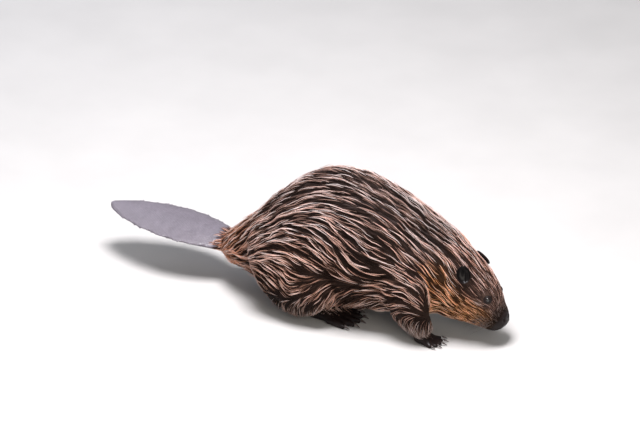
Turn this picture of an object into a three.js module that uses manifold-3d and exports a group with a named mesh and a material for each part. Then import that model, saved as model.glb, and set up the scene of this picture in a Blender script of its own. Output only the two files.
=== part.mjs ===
// A beaver at life size, a still model: it crouches with its head lowered to the water's edge
// and its flat tail held out behind. The solids run out to the tips of the coat.
// Millimetres. +X is the way the animal heads, +Y its left side, +Z up; the soles rest at z = 0.
// Stations are measured from the point on the floor midway between the forefeet.
import * as THREE from 'three';
import { mergeVertices } from 'three/addons/utils/BufferGeometryUtils.js';
import Module from 'manifold-3d';

// ---- Driving dimensions -------------------------------------------------------------------

const GAP = 0.35;               // clear space between neighbouring pieces
const WELD = 1e-4;              // vertices nearer than this are one
const BIG = 1200;               // longer than the animal: the reach of a parting block

const TRUNK_SIDES = 20;
const HEAD_SIDES = 20;
const LIMB_SIDES = 12;
const SOLE_SIDES = 10;
const TOE_SIDES = 6;
const CLAW_SIDES = 5;

// Back and neck: each station is a cross-section about the spine line, `half` wide each side,
// `up` above the line and `down` below it.
const TRUNK_STATIONS = [
  { x: -503, z: 81, half: 37, up: 26, down: 25 },     // tail root
  { x: -478, z: 87, half: 58, up: 38, down: 42 },
  { x: -435, z: 102, half: 90, up: 60, down: 70 },    // rump
  { x: -385, z: 121, half: 115, up: 90, down: 98 },
  { x: -335, z: 136, half: 130, up: 123, down: 116 },
  { x: -285, z: 146, half: 136, up: 151, down: 128 },
  { x: -235, z: 150, half: 136, up: 158, down: 131 }, // highest part of the back
  { x: -185, z: 150, half: 131, up: 153, down: 127 },
  { x: -135, z: 148, half: 121, up: 139, down: 121 },
  { x: -90, z: 143, half: 109, up: 123, down: 113 },  // shoulders
  { x: -48, z: 137, half: 96, up: 107, down: 103 },
  { x: -8, z: 129, half: 84, up: 94, down: 94 },      // neck
  { x: 26, z: 118, half: 60, up: 72, down: 78 },
  { x: 46, z: 110, half: 40, up: 50, down: 54 },
];
const TRUNK_STEPS = 2;
const TRUNK_ROUND_TOP = 2.15;
const TRUNK_ROUND_BELLY = 2.7;
const TRUNK_DOMES = { start: 5, end: 12 };

// Head: stations lie on a straight axis pitched down from the level, `back` from the nose tip.
// `rise` is the height of the widest line above that axis.
const HEAD_PITCH = 38;
const NOSE_TIP = { x: 137, z: 60 };
const HEAD_STATIONS = [
  { back: -9, rise: -16, half: 18, up: 8, down: 13 },    // lips
  { back: -2, rise: -17, half: 27, up: 14, down: 24 },
  { back: 9, rise: -14, half: 33, up: 17, down: 35 },
  { back: 22, rise: -10, half: 36, up: 20, down: 48 },   // whisker pads
  { back: 38, rise: -6, half: 37.5, up: 32, down: 64 },
  { back: 56, rise: -3, half: 42, up: 39.5, down: 80 },    // eyes
  { back: 76, rise: -4, half: 51, up: 46, down: 94 },
  { back: 98, rise: -6, half: 59, up: 53, down: 105 },   // cheeks
  { back: 124, rise: -8, half: 63, up: 57.5, down: 107 },  // ears
  { back: 152, rise: -12, half: 66, up: 64, down: 101 },
  { back: 182, rise: -18, half: 66, up: 63, down: 86 },
  { back: 206, rise: -24, half: 57, up: 54, down: 66 },
];
const HEAD_STEPS = 2;
const HEAD_ROUND_CROWN = 2.05;
const HEAD_ROUND_JAW = 2.15;
const HEAD_DOMES = { start: 3, end: 6 };

const EYE = { back: 51.5, rise: 16.5, out: 27, radius: 6 };
const BALL_SEGMENTS = [9, 6];

// The ears: where each stands, the way its cup opens and the way its long axis points. The right
// one is raised and the left one is laid back against the head.
const EAR = { back: 121, width: 32, height: 39.5 };
const EAR_PAIR = {
  right: {
    rise: 32.5,
    out: -47.5,
    facing: new THREE.Vector3(0.5, -0.78, 0.36),
    lean: new THREE.Vector3(-0.25, 0.14, 0.95),
  },
  left: {
    rise: 28,
    out: 44,
    facing: new THREE.Vector3(0.35, 0.8, 0.5),
    lean: new THREE.Vector3(-0.7, -0.2, 0.6),
  },
};
const EAR_SEGMENTS = 10;
// Section of the ear cup at unit half-width: how far from its axis, and how far along it.
const EAR_PROFILE = [
  [0, -0.42], [0.5, -0.36], [0.86, -0.1], [1, 0.14], [0.95, 0.24], [0.84, 0.16], [0.5, 0.06], [0, 0.03],
];
// Section of the room the head leaves for it: the cup and the clear space before its hollow.
const EAR_ROOM = [...EAR_PROFILE.slice(0, 4), [1, 0.9], [0, 0.9]];

const NOSE_PAD = { back: 5, rise: -4, half: 15, high: 9, deep: 8 };

// Tail: a flat paddle behind the rump, thickest along its middle.
const TAIL = { rootX: -484, rootZ: 79, tipX: -788, tipZ: 104, crest: 3, half: 73, rootHalf: 34 };
const TAIL_THICK = { root: 18, middle: 9, tip: 4, edge: 2.2 };
const TAIL_WIDEST = 0.46;        // share of the length from the root to the widest place
const TAIL_RINGS = 12;
const TAIL_SIDES = 12;
const TAIL_TIP_ROUND = 1.7;
const TAIL_END = 0.996;           // where the last ring stands, just short of the tip
const TAIL_EDGE_ROUND = 6;        // how sharply the paddle's rim is rounded over

// Limbs of the right side; the left ones are their mirror images, moved by their stride.
// `half` is measured fore and aft, `up` outwards and `down` inwards.
const HAUNCH_STATIONS = [
  { x: -352, y: -60, z: 208, half: 56, up: 20, down: 20 },
  { x: -336, y: -84, z: 176, half: 88, up: 42, down: 34 },
  { x: -312, y: -96, z: 138, half: 102, up: 48, down: 40 },
  { x: -286, y: -102, z: 98, half: 98, up: 47, down: 40 },
  { x: -264, y: -104, z: 63, half: 80, up: 43, down: 38 },
  { x: -250, y: -101, z: 36, half: 56, up: 34, down: 30 },
];
const FORELEG_STATIONS = [
  { x: -74, y: -52, z: 172, half: 36, up: 20, down: 18 },
  { x: -70, y: -70, z: 146, half: 55, up: 34, down: 28 },
  { x: -54, y: -84, z: 110, half: 62, up: 34, down: 30 },
  { x: -38, y: -87, z: 76, half: 51, up: 30, down: 27 },
  { x: -24, y: -83, z: 47, half: 39, up: 25, down: 23 },
  { x: -18, y: -78, z: 26, half: 27, up: 20, down: 19 },
];
const LIMB_STEPS = 2;
const ELLIPSE = { above: 2, below: 2 };
const LIMB_DOMES = { start: 8, end: 8 };
const LIMB_DEPTH = 48;            // a limb runs no nearer to the middle of the body than this

// Feet: a sole from the heel to the knuckles, then five toes with a claw each.
const HIND_FOOT = {
  heel: { x: -326, y: -70 },
  yaw: 2,
  sole: [
    { x: 0, z: 13, half: 10, up: 9, down: 15 },
    { x: 14, z: 15, half: 20, up: 19, down: 18 },
    { x: 45, z: 14, half: 24, up: 20, down: 17 },
    { x: 80, z: 12, half: 28, up: 15, down: 15 },
    { x: 108, z: 9, half: 35, up: 11, down: 12 },
    { x: 126, z: 7, half: 36, up: 7, down: 9 },
  ],
  toes: { start: 98, lengths: [44, 57, 61, 57, 44], fan: 26, spread: 54, radius: 7.4, claw: 19 },
  web: { thick: 5, reach: 0.82 },
  stride: -14,
};
const FORE_FOOT = {
  heel: { x: -34, y: -76 },
  yaw: 5,
  sole: [
    { x: 0, z: 11, half: 9, up: 9, down: 13 },
    { x: 10, z: 12, half: 16, up: 13, down: 15 },
    { x: 26, z: 11, half: 20, up: 10, down: 14 },
    { x: 38, z: 8, half: 20, up: 7, down: 10 },
  ],
  toes: { start: 26, lengths: [20, 29, 33, 31, 24], fan: 42, spread: 31, radius: 5.4, claw: 17 },
  web: null,
  stride: 22,
};
const TOE_STATIONS = [
  { share: 0, high: 1.1, wide: 1.0 },
  { share: 0.5, high: 1.1, wide: 1.0 },
  { share: 1, high: 0.85, wide: 0.8 },
];
const TOE_FLOOR_DIP = 1.2;        // how far a toe's pad is flattened by the floor
const TOE_DOMES = { start: 3, end: 4 };
const SOLE_ROUND = { above: 2.2, below: 2.8 };
const SOLE_DOMES = { start: 3, end: 3 };
const WEB_SCALLOP = 0.84;         // depth of the bays between the toes, from the middle toe's root
const CLAW_ROOT_IN = 4;           // how far back over its toe a claw starts
const CLAW_STATIONS = [
  { share: 0, lift: 0.0, thick: 1 },
  { share: 0.55, lift: 0.02, thick: 0.8 },
  { share: 1, lift: -0.2, thick: 0.14 },
];
const CLAW_THICK = 0.46;          // a claw's half-width as a share of its toe's radius
const CLAW_DEPTH = 1.25;          // its depth as a share of its width
const CLAW_DOMES = { start: 0.5, end: 0.6 };

// Parting planes: along the head's axis, and across the base of the neck.
const HEAD_NECK_BACK = 156;
const NECK_TRUNK = { x: -18, z: 130, pitch: 22 };
const TAIL_TRUNK_X = -489;

const COLOURS = {
  head: 0x7d5a49, neck: 0x6f5248, trunk: 0x6b5348, leg: 0x5b4338, foot: 0x2b2421,
  tail: 0x6a6872, ear: 0x241c1a, eye: 0x0d0b0b, nose: 0x1c1717, claw: 0x3b332e,
};
const ROUGHNESS = { coat: 0.6, skin: 0.5, horn: 0.4, eye: 0.08 };

// ---- Small tools --------------------------------------------------------------------------

const wasm = await Module();
wasm.setup();

const UP = new THREE.Vector3(0, 0, 1);
const LEFT = new THREE.Vector3(0, 1, 0);
const FORWARD = new THREE.Vector3(1, 0, 0);
const radians = THREE.MathUtils.degToRad;

// The closed mesh of a geometry as a solid that can be joined and cut.
function toSolid(geometry) {
  const bare = geometry.clone();
  bare.deleteAttribute('normal');
  bare.deleteAttribute('uv');
  const welded = mergeVertices(bare, WELD);
  const vertProperties = new Float32Array(welded.attributes.position.array);
  const triVerts = new Uint32Array(welded.index.array);
  return new wasm.Manifold(new wasm.Mesh({ numProp: 3, vertProperties, triVerts }));
}

function toGeometry(solid) {
  const mesh = solid.getMesh();
  const geometry = new THREE.BufferGeometry();
  geometry.setAttribute('position', new THREE.BufferAttribute(new Float32Array(mesh.vertProperties), 3));
  geometry.setIndex(new THREE.BufferAttribute(new Uint32Array(mesh.triVerts), 1));
  return geometry;
}

// A block from one corner to the other, for parting the body along planes.
function block(min, max) {
  const geometry = new THREE.BoxGeometry(max.x - min.x, max.y - min.y, max.z - min.z);
  return geometry.translate((min.x + max.x) / 2, (min.y + max.y) / 2, (min.z + max.z) / 2);
}

// The value of a smooth curve through b and c, with neighbours a and d, at t from 0 to 1.
function smoothBetween(a, b, c, d, t) {
  const slopeB = (c - a) / 2;
  const slopeC = (d - b) / 2;
  const cubic = 2 * b - 2 * c + slopeB + slopeC;
  const square = 3 * c - 3 * b - 2 * slopeB - slopeC;
  return ((cubic * t + square) * t + slopeB) * t + b;
}

// Adds stations between the given ones, every number following a smooth curve.
function refine(stations, steps) {
  const last = stations.length - 1;
  const refined = [];
  for (let i = 0; i < last; i += 1) {
    const near = [Math.max(i - 1, 0), i, i + 1, Math.min(i + 2, last)].map((k) => stations[k]);
    for (let step = 0; step < steps; step += 1) {
      const mixed = {};
      for (const key of Object.keys(stations[i])) {
        const [a, b, c, d] = near.map((station) => station[key]);
        mixed[key] = smoothBetween(a, b, c, d, step / steps);
      }
      refined.push(mixed);
    }
  }
  refined.push(stations[last]);
  return refined;
}

// One cross-section: `across` and `upward` are its unit directions, and the powers say how
// square it is above and below its widest line (2 is an ellipse).
function crossSection(station, frame, powers, sides, grow) {
  const ring = [];
  for (let i = 0; i < sides; i += 1) {
    const angle = (i / sides) * Math.PI * 2;
    const above = Math.sin(angle) >= 0;
    const power = 2 / (above ? powers.above : powers.below);
    const reach = (above ? station.up : station.down) + grow;
    const side = Math.sign(Math.cos(angle)) * Math.abs(Math.cos(angle)) ** power * (station.half + grow);
    const rise = Math.sign(Math.sin(angle)) * Math.abs(Math.sin(angle)) ** power * reach;
    ring.push(frame.centre.clone().addScaledVector(frame.across, side).addScaledVector(frame.upward, rise));
  }
  return ring;
}

// A closed skin over a row of rings, with a low dome over each end.
function skinOver(rings, startPole, endPole) {
  const sides = rings[0].length;
  const points = rings.flat().concat(startPole, endPole);
  const startIndex = rings.length * sides;
  const endIndex = startIndex + 1;
  const index = [];
  for (let i = 0; i < sides; i += 1) {
    const j = (i + 1) % sides;
    for (let r = 0; r + 1 < rings.length; r += 1) {
      const here = r * sides;
      const next = here + sides;
      index.push(here + i, here + j, next + j, here + i, next + j, next + i);
    }
    const end = (rings.length - 1) * sides;
    index.push(startIndex, j, i, endIndex, end + i, end + j);
  }
  const geometry = new THREE.BufferGeometry().setFromPoints(points);
  geometry.setIndex(index);
  return geometry;
}

// A loft along a bent line. `side` is the direction that `half` is measured in.
function loft(stations, { side, powers, sides, domes, grow = 0 }) {
  const centres = stations.map(({ x, y = 0, z }) => new THREE.Vector3(x, y, z));
  const last = centres.length - 1;
  const headings = centres.map((_, i) => {
    const before = centres[Math.max(i - 1, 0)];
    const after = centres[Math.min(i + 1, last)];
    return after.clone().sub(before).normalize();
  });
  const rings = stations.map((station, i) => {
    const across = side.clone().addScaledVector(headings[i], -side.dot(headings[i])).normalize();
    const upward = headings[i].clone().cross(across);
    return crossSection(station, { centre: centres[i], across, upward }, powers, sides, grow);
  });
  const startPole = centres[0].clone().addScaledVector(headings[0], -domes.start - grow);
  const endPole = centres[last].clone().addScaledVector(headings[last], domes.end + grow);
  return skinOver(rings, startPole, endPole);
}

// The mirror image of a geometry across the middle of the body.
function mirrored(geometry) {
  const copy = geometry.clone().scale(1, -1, 1);
  const index = copy.index.array;
  for (let i = 0; i < index.length; i += 3) {
    [index[i + 1], index[i + 2]] = [index[i + 2], index[i + 1]];
  }
  return copy;
}

// ---- Head frame ---------------------------------------------------------------------------

// A place on the head: `back` from the nose tip along the axis, `rise` above it, `y` to the left.
function onHead(back, rise, y) {
  const pitch = radians(HEAD_PITCH);
  const x = NOSE_TIP.x - back * Math.cos(pitch) + rise * Math.sin(pitch);
  const z = NOSE_TIP.z + back * Math.sin(pitch) + rise * Math.cos(pitch);
  return new THREE.Vector3(x, y, z);
}

// ---- Trunk, neck and head -----------------------------------------------------------------

function trunkForm(grow) {
  return loft(refine(TRUNK_STATIONS, TRUNK_STEPS), {
    side: LEFT,
    powers: { above: TRUNK_ROUND_TOP, below: TRUNK_ROUND_BELLY },
    sides: TRUNK_SIDES,
    domes: TRUNK_DOMES,
    grow,
  });
}

function headForm(grow) {
  const stations = refine(HEAD_STATIONS, HEAD_STEPS).reverse();
  const pitch = radians(HEAD_PITCH);
  const upward = new THREE.Vector3(Math.sin(pitch), 0, Math.cos(pitch));
  const heading = new THREE.Vector3(Math.cos(pitch), 0, -Math.sin(pitch));
  const powers = { above: HEAD_ROUND_CROWN, below: HEAD_ROUND_JAW };
  const rings = stations.map((station) => {
    const centre = onHead(station.back, station.rise, 0);
    return crossSection(station, { centre, across: LEFT, upward }, powers, HEAD_SIDES, grow);
  });
  const nape = stations[0];
  const lips = stations[stations.length - 1];
  const napePole = onHead(nape.back, nape.rise, 0).addScaledVector(heading, -HEAD_DOMES.end - grow);
  const lipPole = onHead(lips.back, lips.rise, 0).addScaledVector(heading, HEAD_DOMES.start + grow);
  return skinOver(rings, napePole, lipPole);
}

function eyeForm(grow) {
  const place = onHead(EYE.back, EYE.rise, -EYE.out);
  return new THREE.SphereGeometry(EYE.radius + grow, ...BALL_SEGMENTS).translate(...place);
}

// The ear is an oval cup on the side of the crown, open outwards and a little forwards.
function earForm(side, section, grow) {
  const { rise, out } = EAR_PAIR[side];
  const half = EAR.width / 2;
  const profile = section.map(([out, along]) => new THREE.Vector2(out * half, along * half));
  const swell = 1 + 2 * grow / EAR.width;
  const oval = EAR.height / EAR.width;
  const cup = new THREE.LatheGeometry(profile, EAR_SEGMENTS).scale(swell, swell, swell * oval);
  const facing = EAR_PAIR[side].facing.clone().normalize();
  const lean = EAR_PAIR[side].lean.clone();
  lean.addScaledVector(facing, -lean.dot(facing)).normalize();
  const turn = new THREE.Matrix4().makeBasis(facing.clone().cross(lean), facing, lean);
  return cup.applyMatrix4(turn).translate(...onHead(EAR.back, rise, out));
}

function noseForm(grow) {
  const { half, high, deep } = NOSE_PAD;
  const pad = new THREE.SphereGeometry(1, ...BALL_SEGMENTS).scale(deep + grow, half + grow, high + grow);
  return pad.rotateY(radians(HEAD_PITCH)).translate(...onHead(NOSE_PAD.back, NOSE_PAD.rise, 0));
}

// ---- Tail ---------------------------------------------------------------------------------

function tailHalfWidth(share) {
  if (share < TAIL_WIDEST) {
    const ease = Math.sin((share / TAIL_WIDEST) * Math.PI / 2);
    return TAIL.rootHalf + (TAIL.half - TAIL.rootHalf) * ease;
  }
  const rest = (share - TAIL_WIDEST) / (1 - TAIL_WIDEST);
  return TAIL.half * (1 - rest ** TAIL_TIP_ROUND) ** (1 / TAIL_TIP_ROUND);
}

function tailThickness(share) {
  const { root, middle, tip } = TAIL_THICK;
  const curve = new THREE.QuadraticBezierCurve(
    new THREE.Vector2(0, root), new THREE.Vector2(0.4, middle), new THREE.Vector2(1, tip),
  );
  return curve.getPoint(share).y;
}

function tailForm() {
  const rings = [];
  for (let i = 0; i <= TAIL_RINGS; i += 1) {
    const share = Math.sin((i / TAIL_RINGS) * Math.PI / 2) * TAIL_END;
    const half = tailHalfWidth(share);
    const thick = tailThickness(share);
    const x = THREE.MathUtils.lerp(TAIL.rootX, TAIL.tipX, share);
    const z = THREE.MathUtils.lerp(TAIL.rootZ, TAIL.tipZ, share) + TAIL.crest * Math.sin(share * Math.PI);
    const ring = [];
    for (let k = 0; k < TAIL_SIDES; k += 1) {
      const angle = (k / TAIL_SIDES) * Math.PI * 2;
      const edge = TAIL_THICK.edge * (1 - Math.abs(Math.cos(angle)) ** TAIL_EDGE_ROUND);
      const rise = Math.sin(angle) * (thick * Math.abs(Math.sin(angle)) + edge);
      ring.push(new THREE.Vector3(x, -Math.cos(angle) * half, z + rise));
    }
    rings.push(ring);
  }
  const root = new THREE.Vector3(TAIL.rootX, 0, TAIL.rootZ);
  const tip = new THREE.Vector3(TAIL.tipX, 0, TAIL.tipZ);
  return skinOver(rings, root, tip);
}

// ---- Limbs and feet -----------------------------------------------------------------------

function limbForm(stations, grow) {
  return loft(refine(stations, LIMB_STEPS), {
    side: FORWARD,
    powers: ELLIPSE,
    sides: LIMB_SIDES,
    domes: LIMB_DOMES,
    grow,
  });
}

// Keeps the outer part of a right limb, so that it stays clear of the middle of the body.
function outerPart(solid, grow) {
  const min = new THREE.Vector3(-BIG, -BIG, -BIG);
  const max = new THREE.Vector3(BIG, -LIMB_DEPTH + grow, BIG);
  return solid.intersect(toSolid(block(min, max)));
}

// The five toes of a foot: where each starts, which way it points and how long it is.
function toeLines({ start, lengths, fan, spread }) {
  return lengths.map((length, i) => {
    const place = i / (lengths.length - 1) - 0.5;
    const origin = new THREE.Vector3(start, place * spread, 0);
    const heading = FORWARD.clone().applyAxisAngle(UP, radians(place * fan));
    return { origin, heading, length };
  });
}

function toeForm(line, radius, grow = 0) {
  const stations = TOE_STATIONS.map(({ share, high, wide }) => {
    const at = line.origin.clone().addScaledVector(line.heading, share * line.length);
    const up = radius * high;
    return { x: at.x, y: at.y, z: up - TOE_FLOOR_DIP, half: radius * wide, up, down: up };
  });
  const side = UP.clone().cross(line.heading);
  return loft(stations, { side, powers: ELLIPSE, sides: TOE_SIDES, domes: TOE_DOMES, grow });
}

// A claw leaves the top of its toe, runs on forwards and curves down to a blunt tip.
function clawForm(line, radius, length) {
  const root = line.length - CLAW_ROOT_IN;
  const stations = CLAW_STATIONS.map(({ share, lift, thick }) => {
    const at = line.origin.clone().addScaledVector(line.heading, root + share * length);
    const half = radius * CLAW_THICK * thick;
    const deep = half * CLAW_DEPTH;
    return { x: at.x, y: at.y, z: radius + lift * length, half, up: deep, down: deep };
  });
  const side = UP.clone().cross(line.heading);
  return loft(stations, { side, powers: ELLIPSE, sides: CLAW_SIDES, domes: CLAW_DOMES });
}

// The web between the toes, a thin fan that ends in a scallop between each pair.
function webForm(lines, { thick, reach }) {
  const tips = lines.map((line) => line.origin.clone().addScaledVector(line.heading, line.length * reach));
  const middleRoot = lines[2].origin;
  const outline = new THREE.Shape();
  outline.moveTo(lines[0].origin.x, lines[0].origin.y);
  outline.lineTo(tips[0].x, tips[0].y);
  for (let i = 1; i < tips.length; i += 1) {
    const middle = tips[i - 1].clone().add(tips[i]).multiplyScalar(0.5);
    const inward = middleRoot.clone().lerp(middle, WEB_SCALLOP);
    outline.quadraticCurveTo(inward.x, inward.y, tips[i].x, tips[i].y);
  }
  outline.lineTo(lines[4].origin.x, lines[4].origin.y);
  outline.closePath();
  return new THREE.ExtrudeGeometry(outline, { depth: thick, bevelEnabled: false, curveSegments: 2 });
}

// Sets a foot's parts down at its heel, turned out by its yaw.
function setDown(geometry, foot) {
  return geometry.rotateZ(radians(foot.yaw)).translate(foot.heel.x, foot.heel.y, 0);
}

function footSolid(foot) {
  const lines = toeLines(foot.toes);
  const sole = loft(foot.sole, { side: LEFT, powers: SOLE_ROUND, sides: SOLE_SIDES, domes: SOLE_DOMES });
  let solid = toSolid(setDown(sole, foot));
  for (const line of lines) {
    solid = solid.add(toSolid(setDown(toeForm(line, foot.toes.radius), foot)));
  }
  if (foot.web) {
    solid = solid.add(toSolid(setDown(webForm(lines, foot.web), foot)));
  }
  const aboveFloor = block(new THREE.Vector3(-BIG, -BIG, 0), new THREE.Vector3(BIG, BIG, BIG));
  return solid.intersect(toSolid(aboveFloor));
}

// The solids of one whole limb of the right side, each clear of the others.
function rightLimb(stations, foot) {
  const leg = outerPart(toSolid(limbForm(stations, 0)), 0);
  const legRoom = outerPart(toSolid(limbForm(stations, GAP)), GAP);
  const lines = toeLines(foot.toes);
  const { radius, claw } = foot.toes;
  const claws = lines.map((line) => {
    const horn = toSolid(setDown(clawForm(line, radius, claw), foot));
    return horn.subtract(toSolid(setDown(toeForm(line, radius, GAP), foot)));
  });
  return { leg, legRoom, foot: footSolid(foot).subtract(legRoom), claws };
}

// The right and left limb of a pair, the left one mirrored and moved by its stride, with each
// foot clear of the belly above it.
function limbPair(stations, foot) {
  const right = rightLimb(stations, foot);
  const across = (solid) => toSolid(mirrored(toGeometry(solid)).translate(foot.stride, 0, 0));
  const left = {
    leg: across(right.leg),
    legRoom: across(right.legRoom),
    foot: across(right.foot),
    claws: right.claws.map(across),
  };
  const belly = toSolid(trunkForm(GAP));
  for (const limb of [right, left]) {
    limb.foot = limb.foot.subtract(belly);
  }
  return { right, left };
}

// ---- The animal ---------------------------------------------------------------------------

const beaver = new THREE.Group();

function addNode(name, geometry, colour, roughness) {
  const material = new THREE.MeshStandardMaterial({ color: colour, roughness, metalness: 0 });
  const mesh = new THREE.Mesh(geometry, material);
  mesh.name = name;
  beaver.add(mesh);
}

function addLimbs(pair, legName, footName) {
  for (const [side, limb] of Object.entries(pair)) {
    addNode(`${legName}_${side}`, toGeometry(limb.leg), COLOURS.leg, ROUGHNESS.coat);
    addNode(`${footName}_${side}`, toGeometry(limb.foot), COLOURS.foot, ROUGHNESS.skin);
    limb.claws.forEach((claw, i) => {
      addNode(`${footName}_${side}_claw_${i + 1}`, toGeometry(claw), COLOURS.claw, ROUGHNESS.horn);
    });
  }
}

// The room that both legs of a pair take out of the body.
function pairRoom(pair) {
  return pair.right.legRoom.add(pair.left.legRoom);
}

function halfSpaceBehindHead(shift) {
  const min = new THREE.Vector3(-BIG, -BIG, -BIG);
  const max = new THREE.Vector3(-shift, BIG, BIG);
  const place = onHead(HEAD_NECK_BACK, 0, 0);
  return toSolid(block(min, max).rotateY(radians(HEAD_PITCH)).translate(...place));
}

function halfSpaceBehindNeck(shift) {
  const min = new THREE.Vector3(-BIG, -BIG, -BIG);
  const max = new THREE.Vector3(-shift, BIG, BIG);
  return toSolid(block(min, max).rotateY(radians(NECK_TRUNK.pitch)).translate(NECK_TRUNK.x, 0, NECK_TRUNK.z));
}

function bothSides(form, grow) {
  return toSolid(form(grow)).add(toSolid(mirrored(form(grow))));
}

function addBody(hind, fore) {
  let flesh = toSolid(trunkForm(0)).add(toSolid(headForm(0)));
  flesh = flesh.subtract(pairRoom(hind)).subtract(pairRoom(fore));
  flesh = flesh.subtract(bothSides(eyeForm, GAP));
  for (const side of Object.keys(EAR_PAIR)) {
    flesh = flesh.subtract(toSolid(earForm(side, EAR_ROOM, GAP)));
  }
  flesh = flesh.subtract(toSolid(noseForm(GAP)));
  const tailFront = new THREE.Vector3(TAIL_TRUNK_X + GAP, BIG, BIG);
  const tailRoom = block(new THREE.Vector3(-BIG, -BIG, -BIG), tailFront);
  const head = flesh.subtract(halfSpaceBehindHead(0));
  const body = flesh.intersect(halfSpaceBehindHead(GAP));
  const neck = body.subtract(halfSpaceBehindNeck(0));
  const trunk = body.intersect(halfSpaceBehindNeck(GAP)).subtract(toSolid(tailRoom));
  addNode('head', toGeometry(head), COLOURS.head, ROUGHNESS.coat);
  addNode('neck', toGeometry(neck), COLOURS.neck, ROUGHNESS.coat);
  addNode('trunk', toGeometry(trunk), COLOURS.trunk, ROUGHNESS.coat);
}

function addTail() {
  const rump = block(new THREE.Vector3(TAIL_TRUNK_X, -BIG, -BIG), new THREE.Vector3(BIG, BIG, BIG));
  const root = toSolid(trunkForm(0)).subtract(toSolid(rump));
  const paddle = toSolid(tailForm()).subtract(toSolid(rump));
  addNode('tail', toGeometry(paddle.add(root)), COLOURS.tail, ROUGHNESS.skin);
}

function addFace() {
  for (const [side, flip] of [['right', false], ['left', true]]) {
    const place = (geometry) => (flip ? mirrored(geometry) : geometry);
    addNode(`eye_${side}`, place(eyeForm(0)), COLOURS.eye, ROUGHNESS.eye);
    addNode(`ear_${side}`, earForm(side, EAR_PROFILE, 0), COLOURS.ear, ROUGHNESS.skin);
  }
  addNode('nose', noseForm(0), COLOURS.nose, ROUGHNESS.skin);
}

const hindLimbs = limbPair(HAUNCH_STATIONS, HIND_FOOT);
const foreLimbs = limbPair(FORELEG_STATIONS, FORE_FOOT);
addBody(hindLimbs, foreLimbs);
addTail();
addFace();
addLimbs(hindLimbs, 'hind_leg', 'hind_foot');
addLimbs(foreLimbs, 'foreleg', 'forefoot');

// The origin is on the floor under the middle of the whole length.
const box = new THREE.Box3().setFromObject(beaver);
beaver.position.set(-(box.min.x + box.max.x) / 2, 0, 0);

export default beaver;
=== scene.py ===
"""A beaver at life size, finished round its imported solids: one skin with the face, ears and feet
worked into it, a coat of wet pointed locks, eyes, claws, whiskers and the scales of the tail.
Laid out as an add-on and run as a script. Metres; +X is the way the animal heads, +Z is up."""
import math
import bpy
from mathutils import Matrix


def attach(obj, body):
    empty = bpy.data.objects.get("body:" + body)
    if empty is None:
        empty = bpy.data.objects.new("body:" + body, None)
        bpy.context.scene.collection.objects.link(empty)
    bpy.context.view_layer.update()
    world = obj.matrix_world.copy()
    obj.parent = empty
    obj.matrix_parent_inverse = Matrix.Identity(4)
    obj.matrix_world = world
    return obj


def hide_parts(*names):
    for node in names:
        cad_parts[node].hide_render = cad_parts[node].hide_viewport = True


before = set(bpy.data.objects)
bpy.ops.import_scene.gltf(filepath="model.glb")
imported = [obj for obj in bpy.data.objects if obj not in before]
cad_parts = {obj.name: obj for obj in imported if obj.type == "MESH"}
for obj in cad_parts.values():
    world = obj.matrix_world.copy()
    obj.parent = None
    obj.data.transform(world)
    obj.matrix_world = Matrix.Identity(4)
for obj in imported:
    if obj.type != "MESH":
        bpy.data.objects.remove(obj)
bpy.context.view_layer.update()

from types import SimpleNamespace

import bpy
import numpy as np
from bpy.props import FloatProperty, FloatVectorProperty, IntProperty, PointerProperty
from mathutils import Vector, kdtree
from mathutils.bvhtree import BVHTree

bl_info = {
    "name": "Beaver Model",
    "version": (1, 0, 0),
    "blender": (4, 5, 0),
    "location": "3D View > Sidebar > Beaver",
    "description": "Skin, coat, eyes, claws, whiskers and tail scales of a life-size beaver",
    "category": "Object",
}

BODY = "root"
MM = 0.001
SEEDS = SimpleNamespace(coat=7, scales=17, whiskers=31)

# ---- Body plan, in millimetres from the floor midway between the forefeet -------------------

FOREFEET = (324.417, 0.0, 0.0)      # that point in the model's own frame
HEAD_PITCH = math.radians(38)
NOSE_TIP = (137.0, 60.0)
EYE = SimpleNamespace(back=51.5, rise=16.5, out=27.0, radius=6.0)
EAR = SimpleNamespace(back=121.0, half=16.0, tall=1.235)
# The right ear, raised, and the left one, laid back: height, way out, facing and long axis.
EAR_PAIR = {
    -1: SimpleNamespace(rise=32.5, out=47.5, facing=(0.5, -0.78, 0.36), lean=(-0.25, 0.14, 0.95)),
    1: SimpleNamespace(rise=28.0, out=44.0, facing=(0.35, 0.8, 0.5), lean=(-0.7, -0.2, 0.6)),
}
NOSTRIL = SimpleNamespace(back=1.5, rise=-3.0, out=9.5)
EYE_OUTLOOK = (0.5, 0.8, 0.32)      # the way the right and left pupils look, with y turned outwards
LID_OUTLOOK = (0.48, 0.82, 0.30)    # the same for the opening of the lids
CORNEA = 0.06                       # how far the cornea stands out, as a share of the radius

# The trunk from tail root to neck: how far along, and its spine and belly heights.
TRUNK_X = (-503, -478, -435, -385, -335, -285, -235, -185, -135, -90, -48, -8, 26, 46)
TRUNK_TOP = (107, 125, 162, 211, 259, 297, 308, 303, 287, 266, 244, 223, 190, 160)
TRUNK_BELLY = (56, 45, 32, 23, 20, 18, 19, 23, 27, 30, 34, 35, 40, 56)
# The head along its axis: how far back, and its crown and jaw heights over the axis.
HEAD_BACK = (-9, 9, 38, 56, 76, 98, 124, 152, 182, 206)
HEAD_CROWN = (-8, 3, 25, 35, 42, 47, 50, 52, 45, 30)
HEAD_JAW = (-29, -49, -70, -82, -96, -108, -112, -110, -104, -90)

PARTS = ("trunk", "neck", "head", "nose", "hind_leg", "foreleg", "hind_foot", "forefoot", "tail", "ear")
TRUNK, NECK, HEAD, NOSE, HIND_LEG, FORELEG, HIND_FOOT, FOREFOOT, TAIL, EAR_PART = range(len(PARTS))

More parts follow.
